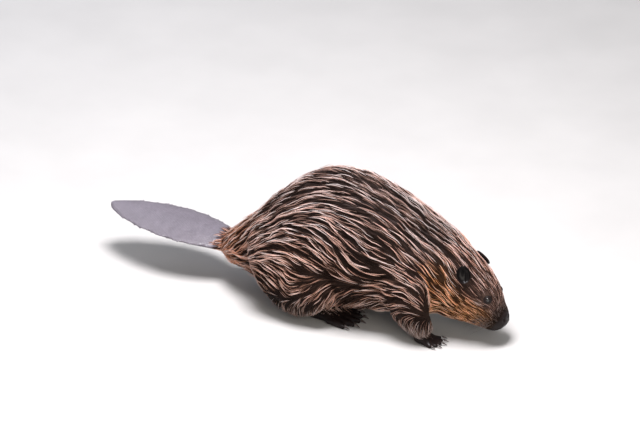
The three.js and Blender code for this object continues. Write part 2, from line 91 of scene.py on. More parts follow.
# The lie of the coat: the angle, in degrees above the level, at which hair runs back along the
# side. A row for each place along the trunk, and in it the places down the side.
LIE_X = (-503, -420, -340, -300, -260, -215, -160, -110, -60, -20, 20)
LIE_SHARE = (0, 0.15, 0.3, 0.45, 0.6, 0.72, 0.88)
LIE = (
    (-38, -38, -34, -26, -18, -10, -5),
    (-42, -43, -38, -32, -24, -17, -10),
    (-42, -44, -38, -15, 22, 30, 34),
    (-36, -37, 0, 15, 24, 40, 45),
    (-10, -28, 5, 18, 32, -35, -52),
    (3, -15, 28, 32, 30, -42, -50),
    (14, 2, 32, 40, 32, -25, -47),
    (20, 22, 22, 12, 3, 0, -25),
    (28, 33, 35, 25, 3, -18, -28),
    (28, 37, 40, 42, 35, 26, 10),
    (28, 42, 52, 56, 58, 50, 35),
)
# The same low on the legs, by the height, and down the face.
HIND_LEG_LIE = ((20, 60), (-90, -60))
FORELEG_LIE = ((20, 44, 70), (-106, -90, -50))
FACE_LIE = ((0, 0.3, 0.6, 0.85, 1), (52, 48, 43, 32, 24))
BROW_LIFT = 16                      # degrees more on the front of the crown
FOOT_LIE = -172                     # forward and down, over the toes
LIE_WAVES = ((8, 70, 3), (8, 26, 4))    # degrees, mm between the waves, and their seed

# Partings, where wet hair falls to both sides: both ends and how far they push the hair away.
PARTINGS = (
    (((-262, -88, 272), (-206, -86, 276), (-149, -66, 275)), 9),
    (((-146, -84, 260), (-113, -74, 257), (-47, -76, 212)), 7),
    (((-372, -87, 219), (-335, -108, 212), (-305, -126, 196)), 8),
    (((-32, -42, 233), (2, -56, 205), (22, -63, 168), (26, -62, 128)), 7),
    (((-190, -128, 118), (-160, -122, 112)), 8),
    (((-250, 100, 262), (-190, 96, 268)), 9),
    (((-140, 92, 250), (-80, 88, 236)), 7),
    (((-365, 92, 214), (-310, 124, 198)), 8),
    (((-32, 42, 233), (2, 56, 205), (22, 63, 168), (26, 62, 128)), 7),
)

PARTING_PUSH = 0.6                  # against the pull of the coat's own lie, which is 1
EYE_PARTING = SimpleNamespace(reach=14, off_middle=15, push=0.8)

# ---- Sizes and colours that a user may change -----------------------------------------------


def linear(code):
    """An sRGB hex colour as linear red, green and blue."""
    parts = np.array([int(code[i:i + 2], 16) / 255 for i in (1, 3, 5)])
    return tuple(np.where(parts <= 0.04045, parts / 12.92, ((parts + 0.055) / 1.055) ** 2.4))


def colour(name, text, code):
    return FloatVectorProperty(
        name=name, description=text, subtype="COLOR", size=3, min=0, max=1, default=linear(code)
    )


def length(name, text, value):
    return FloatProperty(name=name, description=text, default=value, min=0, unit="LENGTH")


def count(name, text, value):
    return IntProperty(name=name, description=text, default=value, min=100)


class BeaverSizes(bpy.types.PropertyGroup):
    voxel: length("Skin grain", "Size of the cells the skin is formed from", 0.0035)
    coat_depth: length("Coat depth", "Depth of the wet coat on the back", 0.012)
    lock_length: length("Lock length", "Length of a lock of guard hair on the back", 0.062)
    lock_width: length("Lock width", "Width of a lock of guard hair on the back", 0.0026)
    ropes: count("Ropes", "Wet ropes the guard hair is drawn into", 5600)
    guard_locks: count("Guard locks", "Locks of long guard hair", 27000)
    # The underfur locks are painted dark as the shade under the guard hair.
    under_locks: count("Under locks", "Locks of dark underfur", 24000)
    eye_radius: length("Eye", "Radius of the eyeball", 0.006)
    scale_long: length("Tail scale length", "Length of a scale of the tail", 0.0042)
    scale_wide: length("Tail scale width", "Width of a scale of the tail", 0.0058)
    whisker: length("Whisker", "Length of the longest whisker", 0.046)


class BeaverColours(bpy.types.PropertyGroup):
    # The back is paler and greyer than the flank and belly. This is partly the coat's own colour and
    # partly a painted sheen of the sky on top; the lower side lacks it and is darker.
    back: colour("Back", "Guard hair of the back and shoulders", "#c0a298")
    flank: colour("Flank", "Guard hair of the flank and thigh", "#bf9886")
    rump: colour("Rump", "Guard hair by the tail root", "#c98a64")
    belly: colour("Belly", "Hair of the underside", "#a07f6e")
    crown: colour("Crown", "Hair between the ears and on the nape", "#cfa596")
    cheek: colour("Cheek", "Hair of the cheek", "#f4b27c")
    tuft: colour("Ear tuft", "The warm tuft behind and below each ear", "#cf8d4c")
    muzzle: colour("Muzzle", "Short hair of the muzzle", "#24170f")
    leg: colour("Legs", "Hair of the lower legs", "#857066")
    # Painted highlight: the glint colour stands for the sky's reflection on wet guard hair. It is
    # painted into the palest hairs and below the eyes.
    glint: colour("Glint", "The palest guard hairs", "#ece5e4")
    # Painted shade: the near black of the shade in the coat's gaps and partings, on the underfur and at
    # the lock roots. The hair round each eye also darkens towards it.
    shade: colour("Shade", "Underfur in the partings", "#0f0605")
    leather: colour("Nose and feet", "Bare skin of the nose, lips and feet", "#1d1615")
    ear: colour("Ears", "Skin of the ears", "#1b1413")
    tail: colour("Tail", "Horny skin of the tail", "#676169")
    claw: colour("Claws", "Horn of the claws", "#3d3430")
    eye: colour("Eye", "The dark brown iris", "#1a100c")
    whisker: colour("Whiskers", "Stiff hair of the whiskers", "#4a3a33")
    floor: colour("Floor", "The pale floor", "#bfbdba")


# ---- Small tools ----------------------------------------------------------------------------


def blend(a, b, share):
    return a + (b - a) * share


def ease(value, low, high):
    """0 below low, 1 above high and a smooth step between."""
    share = np.clip((value - low) / (high - low), 0, 1)
    return share * share * (3 - 2 * share)


def unit(vectors):
    size = np.linalg.norm(vectors, axis=-1, keepdims=True)
    return vectors / np.maximum(size, 1e-9)


def body_mm(points):
    """Points of the model's frame as millimetres from the floor between the forefeet."""
    return np.asarray(points, float) / MM - FOREFEET


def model_m(points):
    return (np.asarray(points, float) + FOREFEET) * MM


def head_place(mm):
    """How far back along the head's axis, and how far above it, places are."""
    along, high = mm[..., 0] - NOSE_TIP[0], mm[..., 2] - NOSE_TIP[1]
    c, s = math.cos(HEAD_PITCH), math.sin(HEAD_PITCH)
    return -along * c + high * s, along * s + high * c


def on_head(back, rise, out):
    """The place on the head at those distances, in millimetres; the animal's right is negative."""
    c, s = math.cos(HEAD_PITCH), math.sin(HEAD_PITCH)
    return np.array([NOSE_TIP[0] - back * c + rise * s, out, NOSE_TIP[1] + back * s + rise * c])


def ripple(mm, size, seed):
    """A smooth wave of about -1 to 1 through space, its humps that many millimetres apart."""
    rng = np.random.default_rng(seed)
    waves = rng.normal(size=(7, 3)) * (2 * math.pi / size / 1.7)
    return np.sin(mm @ waves.T + rng.uniform(0, 2 * math.pi, 7)).mean(axis=1) * 2


def from_table(x, share):
    """The coat's lie from its table at places along the trunk and down its side."""
    rows = np.array([np.interp(share, LIE_SHARE, row) for row in LIE])
    at = np.interp(x, LIE_X, np.arange(len(LIE_X)))
    low = np.minimum(at.astype(int), len(LIE_X) - 2)
    pick = np.arange(len(x))
    return blend(rows[low, pick], rows[low + 1, pick], at - low)


def side_share(mm):
    """0 on the spine and 1 on the belly."""
    top = np.interp(mm[:, 0], TRUNK_X, TRUNK_TOP)
    belly = np.interp(mm[:, 0], TRUNK_X, TRUNK_BELLY)
    return np.clip((top - mm[:, 2]) / (top - belly), 0, 1)


def face_share(mm):
    """0 on the crown and 1 under the jaw."""
    back, rise = head_place(mm)
    crown, jaw = np.interp(back, HEAD_BACK, HEAD_CROWN), np.interp(back, HEAD_BACK, HEAD_JAW)
    return np.clip((crown - rise) / (crown - jaw), 0, 1)


def is_part(part, *kinds):
    return np.isin(part, kinds)


# ---- What the coat is like at each place ----------------------------------------------------

# Depth of the coat, in mm where it is 12 deep on the back: from the nose back, from the tail root
# forward, and up the legs. The last numbers are those of bare or nearly bare skin.
DEPTH_BACK = ((0, 14, 30, 60, 95, 130, 170, 230, 300), (0.5, 0.9, 1.5, 2.6, 4.2, 5.6, 7.5, 10.5, 12))
DEPTH_TAIL_ROOT = ((-545, -500, -450), (0.5, 3.5, 11))
DEPTH_LEG = ((15, 50, 110, 170), (1.2, 4, 8, 12))
DEPTH_FOOT, DEPTH_TAIL, DEPTH_BARE = 0.3, 0.5, 0.2
RUMP_X, TAIL_BARE_X = -440, -520    # where the coat thins towards the tail, and where it ends

# Guard locks: shares of the full length and width from the nose back, the most on the legs by
# height, in mm, and the share of both towards the tail.
LOCK_BACK = (0, 20, 45, 80, 120, 170, 240, 320)
LOCK_LONG = (0.09, 0.18, 0.34, 0.54, 0.68, 0.82, 0.94, 1)
LOCK_WIDE = (0.28, 0.36, 0.5, 0.62, 0.72, 0.82, 0.92, 1)
LEG_HEIGHT = (10, 40, 90, 160)
LEG_LOCK_LONG = (9, 20, 38, 50)
LEG_LOCK_WIDE = (1.1, 1.6, 2.1, 2.4)
LOCK_TAIL_ROOT = ((-545, -500, -440), (0.15, 0.4, 0.9))
SMALL_LOCK = (5, 0.8)               # length and width on the ears and feet, in mm


def coat_depth(mm, part, deepest):
    """How far the skin lies inside the tips of the coat, in millimetres."""
    back, _ = head_place(mm)
    depth = np.interp(back, *DEPTH_BACK) * deepest / DEPTH_BACK[1][-1]
    tail = np.interp(mm[:, 0], *DEPTH_TAIL_ROOT)
    depth = np.where(mm[:, 0] < RUMP_X, np.minimum(depth, tail), depth)
    leg = np.interp(mm[:, 2], *DEPTH_LEG)
    depth = np.where(is_part(part, HIND_LEG, FORELEG), np.minimum(depth, leg), depth)
    depth = np.where(is_part(part, HIND_FOOT, FOREFOOT), DEPTH_FOOT, depth)
    depth = np.where(is_part(part, TAIL) & (mm[:, 0] < TAIL_BARE_X), DEPTH_TAIL, depth)
    return np.where(is_part(part, NOSE, EAR_PART), DEPTH_BARE, depth)


def lock_size(mm, part, longest, widest):
    """Length and width of the guard locks at each place, in millimetres."""
    back, _ = head_place(mm)
    long = np.interp(back, LOCK_BACK, LOCK_LONG) * longest
    wide = np.interp(back, LOCK_BACK, LOCK_WIDE) * widest
    leg = is_part(part, HIND_LEG, FORELEG)
    long = np.where(leg, np.minimum(long, np.interp(mm[:, 2], LEG_HEIGHT, LEG_LOCK_LONG)), long)
    wide = np.where(leg, np.minimum(wide, np.interp(mm[:, 2], LEG_HEIGHT, LEG_LOCK_WIDE)), wide)
    root = np.interp(mm[:, 0], *LOCK_TAIL_ROOT)
    long, wide = long * root, wide * np.sqrt(root)
    small = is_part(part, EAR_PART, HIND_FOOT, FOREFOOT)
    return np.where(small, SMALL_LOCK[0], long), np.where(small, SMALL_LOCK[1], wide)


def lie_of_coat(mm, part):
    """The way the hair lies at each place, before it is laid down along the skin."""
    x, y, z = mm.T
    back, _ = head_place(mm)
    body = from_table(x, side_share(mm))
    face = np.interp(face_share(mm), *FACE_LIE)
    face = face + BROW_LIFT * ease(-back, -60, -30) * ease(-face_share(mm), -0.45, -0.2)
    angle = blend(face, body, ease(back, 140, 205))
    angle = np.where(part == HIND_LEG, blend(np.interp(z, *HIND_LEG_LIE), body, ease(z, 42, 72)), angle)
    angle = np.where(part == FORELEG, blend(np.interp(z, *FORELEG_LIE), body, ease(z, 52, 88)), angle)
    angle = np.where(is_part(part, HIND_FOOT, FOREFOOT), FOOT_LIE, angle)
    for degrees, size, seed in LIE_WAVES:
        angle = angle + degrees * ripple(mm, size, seed)
    angle = np.radians(angle)
    lie = np.stack([-np.cos(angle), 0.05 * np.sign(y), np.sin(angle)], axis=1)
    leans = np.where((y > 0)[:, None], EAR_PAIR[1].lean, EAR_PAIR[-1].lean)
    lie = np.where((part == EAR_PART)[:, None], leans, lie)
    lie += push_from_eye(mm) + push_from_partings(mm)
    return lie


def push_from_eye(mm):
    """Hair parts round the eye."""
    eye = on_head(EYE.back, EYE.rise, EYE.out)
    away = mm * [1, 0, 1] - eye * [1, 0, 1]
    near = np.exp(-(np.linalg.norm(away, axis=1) / EYE_PARTING.reach) ** 2)
    near = near * (np.abs(mm[:, 1]) > EYE_PARTING.off_middle)
    return unit(away) * (near * EYE_PARTING.push)[:, None]


def off_line(mm, line):
    """How far places are from a bent line, and the way off it."""
    best, way = np.full(len(mm), np.inf), np.zeros_like(mm)
    for start, end in zip(np.array(line, float), np.array(line[1:], float)):
        step = end - start
        along = np.clip((mm - start) @ step / (step @ step), 0, 1)
        away = mm - (start + along[:, None] * step)
        far = np.linalg.norm(away, axis=1)
        way = np.where((far < best)[:, None], away, way)
        best = np.minimum(best, far)
    return best, way


def push_from_partings(mm):
    """Hair falls away to both sides of a parting."""
    push = np.zeros_like(mm)
    for line, reach in PARTINGS:
        far, away = off_line(mm, line)
        push += unit(away) * (PARTING_PUSH * np.exp(-(far / reach) ** 2))[:, None]
    return push


def in_a_parting(mm):
    """1 along the middle of a parting, falling to 0 beside it."""
    near = np.zeros(len(mm))
    for line, reach in PARTINGS:
        near = np.maximum(near, np.exp(-(off_line(mm, line)[0] / reach * 1.7) ** 2))
    return near


# Where each marking begins and is full: shares of the way down the side or face, or mm.
FLANK_FROM, BELLY_FROM, THROAT_FROM, CHEEK_FROM = (0.22, 0.62), (0.78, 0.98), (0.78, 0.98), (0.12, 0.4)
RUMP_FROM = (350, 450)              # mm behind the forefeet
SPINE_BAND = SimpleNamespace(ends=(0.02, 0.11), darker=0.35)
SNOUT_FROM = (-50, -10)             # mm back from the nose, with its sign turned
NECK_FROM = (150, 185)              # mm back from the nose
SOCKS_FROM = (-95, -40)             # mm high, with its sign turned
TUFT = SimpleNamespace(back=-26, down=-24, reach=13, share=0.8)     # from the root of the ear
EYE_RING = SimpleNamespace(reach=12, share=0.75)
# Painted highlight: a pale patch in the glint colour below each eye, where the wet hair catches the
# light.
UNDER_EYE = SimpleNamespace(back=1, down=13, long=8, high=3.5, share=0.7)


def markings(mm, part, shades):
    """The coat's colour at each place, from the animal's broad markings, with painted light in it: a
    sheen of the sky on the back, and a painted highlight below each eye.
    """
    x, _, z = mm.T
    back, rise = head_place(mm)
    side, face = side_share(mm), face_share(mm)
    uneven = ripple(mm, 90, 11) * 0.12
    # Down the side the colour goes from the back's to the flank's and the belly's. This is partly the
    # coat's own colours and partly painted light: the sky's sheen on the back, and darker below.
    tone = blend(shades.back, shades.flank, ease(side + uneven, *FLANK_FROM)[:, None])
    tone = blend(tone, shades.belly, ease(side + uneven, *BELLY_FROM)[:, None])
    tone = blend(tone, shades.rump, (ease(-x, *RUMP_FROM) * 0.9)[:, None])
    tone = tone * (1 - SPINE_BAND.darker * (1 - ease(side, *SPINE_BAND.ends)))[:, None]
    head = blend(shades.crown, shades.cheek, ease(face + uneven, *CHEEK_FROM)[:, None])
    head = blend(head, shades.belly, ease(face, *THROAT_FROM)[:, None])
    off = mm - on_head(EAR.back, EAR_PAIR[-1].rise, 0) - np.array([TUFT.back, 0, TUFT.down])
    tuft = np.exp(-(off[:, 0] ** 2 + off[:, 2] ** 2) / TUFT.reach ** 2)
    head = blend(head, shades.tuft, (TUFT.share * tuft)[:, None])
    eye_back, eye_rise = back - EYE.back, rise - EYE.rise
    ring = np.exp(-(eye_back ** 2 + eye_rise ** 2) / EYE_RING.reach ** 2)
    head = blend(head, shades.shade, (EYE_RING.share * ring)[:, None])
    # Painted highlight in the glint colour below the eye.
    under_eye = np.exp(-((eye_back - UNDER_EYE.back) / UNDER_EYE.long) ** 2
                       - ((eye_rise + UNDER_EYE.down) / UNDER_EYE.high) ** 2)
    head = blend(head, shades.glint, (UNDER_EYE.share * under_eye)[:, None])
    snout = ease(-back, *SNOUT_FROM) * 0.95
    head = blend(head, shades.muzzle, (snout * (1 - under_eye))[:, None])
    neck = np.maximum(ease(back + 30 * uneven, *NECK_FROM), part == FORELEG)
    tone = blend(head, tone, neck[:, None])
    low = ease(-z, *SOCKS_FROM) * is_part(part, HIND_LEG, FORELEG, HIND_FOOT, FOREFOOT)
    tone = blend(tone, shades.leg, low[:, None])
    return np.where((part == EAR_PART)[:, None], shades.ear * 1.4, tone)


def shades_of(settings):
    names = BeaverColours.__annotations__
    return SimpleNamespace(**{name: np.array(getattr(settings, name)) for name in names})


# ---- Meshes and arrays ----------------------------------------------------------------------


def deselect():
    if bpy.context.mode != "OBJECT":
        bpy.ops.object.mode_set(mode="OBJECT")
    bpy.ops.object.select_all(action="DESELECT")


def make_active(ob):
    deselect()
    ob.select_set(True)
    bpy.context.view_layer.objects.active = ob


def finish_modifier(ob, kind, **settings):
    """Adds a modifier with its settings and applies it."""
    make_active(ob)
    modifier = ob.modifiers.new(kind.title(), kind)
    for key, value in settings.items():
        setattr(modifier, key, value)
    bpy.ops.object.modifier_apply(modifier=modifier.name)


def copy_of_nodes(name, nodes):
    """One object that holds merged copies of these solids."""
    deselect()
    for node in nodes:
        copy = bpy.data.objects.new(name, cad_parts[node].data.copy())
        bpy.context.collection.objects.link(copy)
        copy.select_set(True)
        bpy.context.view_layer.objects.active = copy
    if len(nodes) > 1:
        bpy.ops.object.join()
    joined = bpy.context.view_layer.objects.active
    joined.name = joined.data.name = name
    joined.data.materials.clear()
    bpy.ops.object.mode_set(mode="EDIT")
    bpy.ops.mesh.select_all(action="SELECT")
    bpy.ops.mesh.remove_doubles(threshold=1e-6)
    bpy.ops.object.mode_set(mode="OBJECT")
    return joined


def places(mesh):
    out = np.empty(len(mesh.vertices) * 3, np.float32)
    mesh.vertices.foreach_get("co", out)
    return out.reshape(-1, 3).astype(float)


def directions(mesh):
    out = np.empty(len(mesh.vertices) * 3, np.float32)
    mesh.vertex_normals.foreach_get("vector", out)
    return out.reshape(-1, 3).astype(float)


def put_places(mesh, points):
    mesh.vertices.foreach_set("co", np.asarray(points, np.float32).ravel())
    mesh.update()


def triangles(mesh):
    mesh.calc_loop_triangles()
    out = np.empty(len(mesh.loop_triangles) * 3, np.int32)
    mesh.loop_triangles.foreach_get("vertices", out)
    return out.reshape(-1, 3)


def put_number(mesh, name, values):
    attribute = mesh.attributes.new(name, "FLOAT", "POINT")
    attribute.data.foreach_set("value", np.asarray(values, np.float32))


def put_colour(mesh, name, colours):
    full = np.ones((len(colours), 4), np.float32)
    full[:, :3] = colours
    attribute = mesh.color_attributes.new(name=name, type="FLOAT_COLOR", domain="POINT")
    attribute.data.foreach_set("color", full.ravel())


def mesh_object(name, points, faces, sizes):
    """A new object from vertices, the vertex numbers of its faces in a row, and their sizes."""
    mesh = bpy.data.meshes.new(name)
    mesh.vertices.add(len(points))
    mesh.vertices.foreach_set("co", np.asarray(points, np.float32).ravel())
    mesh.loops.add(len(faces))
    mesh.loops.foreach_set("vertex_index", np.asarray(faces, np.int32))
    mesh.polygons.add(len(sizes))
    starts = np.concatenate([[0], np.cumsum(sizes)[:-1]])
    mesh.polygons.foreach_set("loop_start", starts.astype(np.int32))
    mesh.polygons.foreach_set("use_smooth", np.ones(len(sizes), bool))
    mesh.update(calc_edges=True)
    ob = bpy.data.objects.new(name, mesh)
    bpy.context.collection.objects.link(ob)
    return ob


def done(ob, slot, material, *nodes):
    """Finishes a piece: its material, the hiding of the solids it stands for, and what carries it."""
    ob.data.materials.clear()
    ob.data.materials.append(material)
    if nodes:
        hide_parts(*nodes)
    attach(ob, BODY)


def nodes_like(*starts):
    return [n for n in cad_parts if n.startswith(starts)]


class Surface:
    """A mesh as arrays: where it is, the way it faces and what part of the body each face is."""

    def __init__(self, points, faces, normals, part):
        self.points, self.faces = points, faces
        self.face_normals = unit(normals[faces].sum(axis=1))
        self.face_part = part
        self.tree = BVHTree.FromPolygons(points.tolist(), faces.tolist())

    def nearest(self, points):
        hits = [self.tree.find_nearest(p) for p in points.tolist()]
        found = np.array([hit[2] for hit in hits])
        return np.array([hit[0][:] for hit in hits]), self.face_normals[found], self.face_part[found]


def part_number(node):
    return next(i for i, name in enumerate(PARTS) if node.startswith(name))


def cad_surface():
    """All the solids of flesh as one surface."""
    points, faces, part, normals = [], [], [], []
    count = 0
    for node in nodes_like(*PARTS):
        if "claw" in node:
            continue
        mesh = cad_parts[node].data
        corner = triangles(mesh)
        at = places(mesh)
        faces.append(corner + count)
        points.append(at)
        normals.append(directions(mesh))
        part.append(np.full(len(corner), part_number(node)))
        count += len(at)
    return Surface(*map(np.concatenate, (points, faces, normals, part)))


# ---- Skin -----------------------------------------------------------------------------------

SKIN_NODES = ("trunk", "neck", "head", "nose", "tail", "hind_leg", "foreleg", "hind_foot", "forefoot")


def flesh_nodes():
    return [n for n in nodes_like(*SKIN_NODES) if "claw" not in n]


SWELL = 0.0005                      # closes the gaps between the solids before they are one skin
KEPT_THIN, KEPT_THICK = 0.75, 0.25  # how far the smoothed skin goes back out to the solids
# Where the skin is divided finer: back, above and out from the head's axis, and how far round it.
FINE_SKIN = (
    (14, -14, 0, 0.062),
    (4, -14, 0, 0.036),
    (EYE.back, EYE.rise, -33, 0.014),
    (EYE.back, EYE.rise, 33, 0.014),
)


def draw_in(ob, cad, deepest):
    """Moves the skin inside the tips of the coat by the coat's depth."""
    smooth = places(ob.data)
    at, _, part = cad.nearest(smooth)
    thin = is_part(part, HIND_FOOT, FOREFOOT, TAIL, NOSE)
    kept = np.where(thin, KEPT_THIN, KEPT_THICK)[:, None]
    depth = coat_depth(body_mm(at), part, deepest) * MM
    put_places(ob.data, blend(smooth, at, kept) - directions(ob.data) * depth[:, None])


def refine_near(ob, centre, reach):
    """Divides the faces within reach of a place, for the fine folds there."""
    make_active(ob)
    mesh = ob.data
    near = np.linalg.norm(places(mesh) - centre, axis=1) < reach
    for kind in (mesh.vertices, mesh.edges):
        kind.foreach_set("select", np.zeros(len(kind), bool))
    mesh.polygons.foreach_set("select", [all(near[v] for v in face.vertices) for face in mesh.polygons])
    bpy.ops.object.mode_set(mode="EDIT")
    bpy.context.tool_settings.mesh_select_mode = (False, False, True)
    bpy.ops.mesh.subdivide(number_cuts=1, smoothness=0)
    bpy.ops.object.mode_set(mode="OBJECT")


def hollow(mm, normals, centre, reach, depth):
    """Pushes a round hollow in, or with a negative depth draws a round swelling out."""
    far = np.linalg.norm(mm - centre, axis=1)
    return mm - normals * (depth * np.exp(-(far / reach) ** 2))[:, None]


# Hollows of the face, and swellings where the depth is under 0, on both sides: how far back, above
# and out from the head's axis, how far round, and how deep, in mm.
FACE_FORMS = (
    (EYE.back, EYE.rise + 1, 32, 10, 2.0),                      # eye socket
    (EYE.back + 8, EYE.rise + 10, 25, 8, -1.2),                 # brow
    (17, -18, 30, 13, -2.4),                                    # whisker pad
    (88, -30, 50, 26, -2.5),                                    # muscle of the cheek
    (NOSTRIL.back, NOSTRIL.rise, NOSTRIL.out + 4, 5.0, -2.2),   # wing of the nostril
    (NOSTRIL.back - 2, NOSTRIL.rise, NOSTRIL.out, 3.4, 5.6),    # nostril
)
LIP_CLEFT = ((-6, -9, 0), (-9, -17, 0), 1.5, 1.6)               # both ends, width and depth
LIP_LINE = ((-9, -19, 6), (-2, -24, 20), (12, -29, 31), (27, -35, 35))
LIP_WIDE, LIP_DEEP = 1.8, 1.9
# Creases of the body: both ends on the left side, width and depth.
BODY_FOLDS = (
    ((-34, 58, 196), (-4, 84, 110), 9, 3),          # neck, above
    ((-4, 84, 110), (2, 80, 55), 9, 3),             # neck, behind the jaw
    ((-222, 132, 150), (-206, 128, 60), 14, 4),     # flank, before the thigh
)
LUMPS = ((60, 21, 1.6), (28, 22, 0.7))      # mm between the lumps, their seed, and mm high


def shape_face(mm, normals):
    """The folds of the face: eye sockets, whisker pads, nostrils, lips and the cleft of the lip."""
    for side in (-1, 1):
        for back, rise, out, reach, depth in FACE_FORMS:
            mm = hollow(mm, normals, on_head(back, rise, side * out), reach, depth)
    start, end, wide, depth = LIP_CLEFT
    mm = groove(mm, normals, on_head(*start), on_head(*end), wide, depth)
    for side in (-1, 1):
        line = [on_head(back, rise, side * out) for back, rise, out in LIP_LINE]
        for start, end in zip(line, line[1:]):
            mm = groove(mm, normals, start, end, LIP_WIDE, LIP_DEEP)
    return mm


def groove(mm, normals, start, end, wide, depth):
    """Presses a groove in along a straight line."""
    line = end - start
    along = np.clip((mm - start) @ line / (line @ line), 0, 1)
    far = np.linalg.norm(mm - start - along[:, None] * line, axis=1)
    return mm - normals * (depth * np.exp(-(far / wide) ** 2))[:, None]


def shape_body(mm, normals, part):
    """Soft folds under the coat: the crease of the neck, the flank before the thigh, and lumps."""
    lumps = sum(ripple(mm, size, seed) * high for size, seed, high in LUMPS)
    back, _ = head_place(mm)
    lumps *= ease(back, 60, 190) * ~is_part(part, TAIL, HIND_FOOT, FOREFOOT, NOSE, EAR_PART)
    mm = mm + normals * lumps[:, None]
    for side in (-1, 1):
        for start, end, wide, depth in BODY_FOLDS:
            ends = np.array([start, end]) * [1, side, 1]
            mm = groove(mm, normals, *ends, wide, depth)
    return mm


# The cup's depth and how far behind its middle its rim still counts, in mm, and where its slope
# and its rim lie, as shares of its half size.
EAR_CUP = SimpleNamespace(deep=2.6, behind=-4, slope=(0.62, 0.9), rim=(0.8, 1.0))


def ear_frame(side):
    """The middle of one ear's cup, the way it faces, its upright and the way across it."""
    ear = EAR_PAIR[side]
    facing = unit(np.array(ear.facing))
    lean = np.array(ear.lean)
    lean = unit(lean - facing * (lean @ facing))
    return on_head(EAR.back, ear.rise, side * ear.out), facing, lean, np.cross(facing, lean)


def in_ear(mm, side):
    """Places across and up one ear, as shares of its half width and height, and mm before it."""
    middle, facing, lean, across = ear_frame(side)
    off = mm - middle
    return off @ across / EAR.half, off @ lean / (EAR.half * EAR.tall), off @ facing


def add_ears():
    """The ears as thin cups: a rolled rim, a deep hollow, and two folds inside it."""
    ears = copy_of_nodes("ears", nodes_like("ear"))
    finish_modifier(ears, "SUBSURF", levels=3, render_levels=3)
    mm, normals = body_mm(places(ears.data)), directions(ears.data)
    for side in (-1, 1):
        facing = ear_frame(side)[1]
        u, v, _ = in_ear(mm, side)
        inside = (mm[:, 1] * side > 0) * (normals @ facing > 0.05)
        inside = inside * (1 - ease(np.hypot(u, v), *EAR_CUP.slope))
        outer_fold = 2.4 * np.exp(-((u + 0.42 - 0.5 * v * v) / 0.13) ** 2) * ease(-v, -0.5, 0.1)
        inner_fold = 2.0 * np.exp(-((u - 0.1 + 0.3 * v) / 0.12) ** 2) * ease(v, -0.3, 0.3)
        mm = mm - facing * (inside * (EAR_CUP.deep - (outer_fold + inner_fold)))[:, None]
    put_places(ears.data, model_m(mm))
    return ears


# The lid's section, outwards from the opening: share of the opening's size, and mm over the eyeball.
LID_SECTION = ((1.0, -0.6), (1.0, 0.5), (1.08, 1.1), (1.25, 1.35), (1.55, 1.1), (1.95, 0.3),
               (2.4, -1.4), (2.0, -2.6), (1.3, -1.8))
LID_OPENING = SimpleNamespace(long=5.0, above=4.4, below=3.9, almond=0.12)    # mm from its middle
LID_STEPS = 56
LID_BEND = 1.15                     # radians round the eyeball that a lid follows before it flattens


def lid_ring(side):
    """An eyelid ring round one eye: an almond opening whose thick dark edge lies on the eyeball."""
    centre = on_head(EYE.back, EYE.rise, side * EYE.out)
    outward = unit(np.array(LID_OUTLOOK) * [1, side, 1])
    forward = on_head(0, 0, 0) - on_head(1, 0, 0)
    forward = unit(forward - outward * (forward @ outward))
    upward = np.cross(outward, forward) * -side
    points = []
    for i in range(LID_STEPS):
        turn = 2 * math.pi * i / LID_STEPS
        high = LID_OPENING.above if math.sin(turn) > 0 else LID_OPENING.below
        reach_f = LID_OPENING.long * math.cos(turn)
        reach_u = high * math.sin(turn) * (1 - LID_OPENING.almond * math.cos(turn))
        for grow, thick in LID_SECTION:
            flat = forward * reach_f * grow + upward * reach_u * grow
            far = np.linalg.norm(flat)
            bend = min(far / EYE.radius, LID_BEND)
            spill = max(far - LID_BEND * EYE.radius, 0) * 0.8
            ball = EYE.radius + thick
            place = centre + unit(flat) * (math.sin(bend) * ball + spill)
            points.append(place + outward * (math.cos(bend) * ball))
    faces = []
    n = len(LID_SECTION)
    for i in range(LID_STEPS):
        j = (i + 1) % LID_STEPS
        for k in range(n):
            m = (k + 1) % n
            quad = [i * n + k, j * n + k, j * n + m, i * n + m]
            faces += quad if side > 0 else quad[::-1]
    return mesh_object("lid", model_m(points), faces, [4] * (len(faces) // 4))


def face_outwards(ob):
    make_active(ob)
    bpy.ops.object.mode_set(mode="EDIT")
    bpy.ops.mesh.select_all(action="SELECT")
    bpy.ops.mesh.normals_make_consistent(inside=False)
    bpy.ops.object.mode_set(mode="OBJECT")


def join_into(ob, others):
    deselect()
    for other in others:
        other.select_set(True)
    ob.select_set(True)
    bpy.context.view_layer.objects.active = ob
    bpy.ops.object.join()


BARE_LIPS = SimpleNamespace(ends=(-9, -1), half=34)    # mm back from the nose, and half their width
BARE_LIDS = (8.4, 10.2)             # mm from the middle of an eyeball: all bare, and none
BARE_TAIL = (505, 528)              # mm behind the forefeet: none bare, and all


def bare_share(mm, part):
    """1 where the skin is bare and 0 where it lies under the coat."""
    back, _ = head_place(mm)
    bare = is_part(part, NOSE, HIND_FOOT, FOREFOOT, EAR_PART).astype(float)
    bare = np.maximum(bare, ease(-mm[:, 0], *BARE_TAIL) * (part == TAIL))
    lips = ease(-back, *BARE_LIPS.ends) * (np.abs(mm[:, 1]) < BARE_LIPS.half)
    lips = lips * is_part(part, HEAD, NOSE)
    lids = np.zeros(len(mm))
    for side in (-1, 1):
        far = np.linalg.norm(mm - on_head(EYE.back, EYE.rise, side * EYE.out), axis=1)
        lids = np.maximum(lids, 1 - ease(far, *BARE_LIDS))
    return np.maximum.reduce([bare, lips, lids])


def ear_rim(mm):
    """0 in the hollow of an ear and 1 on its rim and back."""
    rim = np.ones(len(mm))
    for side in (-1, 1):
        u, v, before = in_ear(mm, side)
        cup = (mm[:, 1] * side > 0) & (before > EAR_CUP.behind)
        rim = np.where(cup, ease(np.hypot(u, v), *EAR_CUP.rim), rim)
    return rim


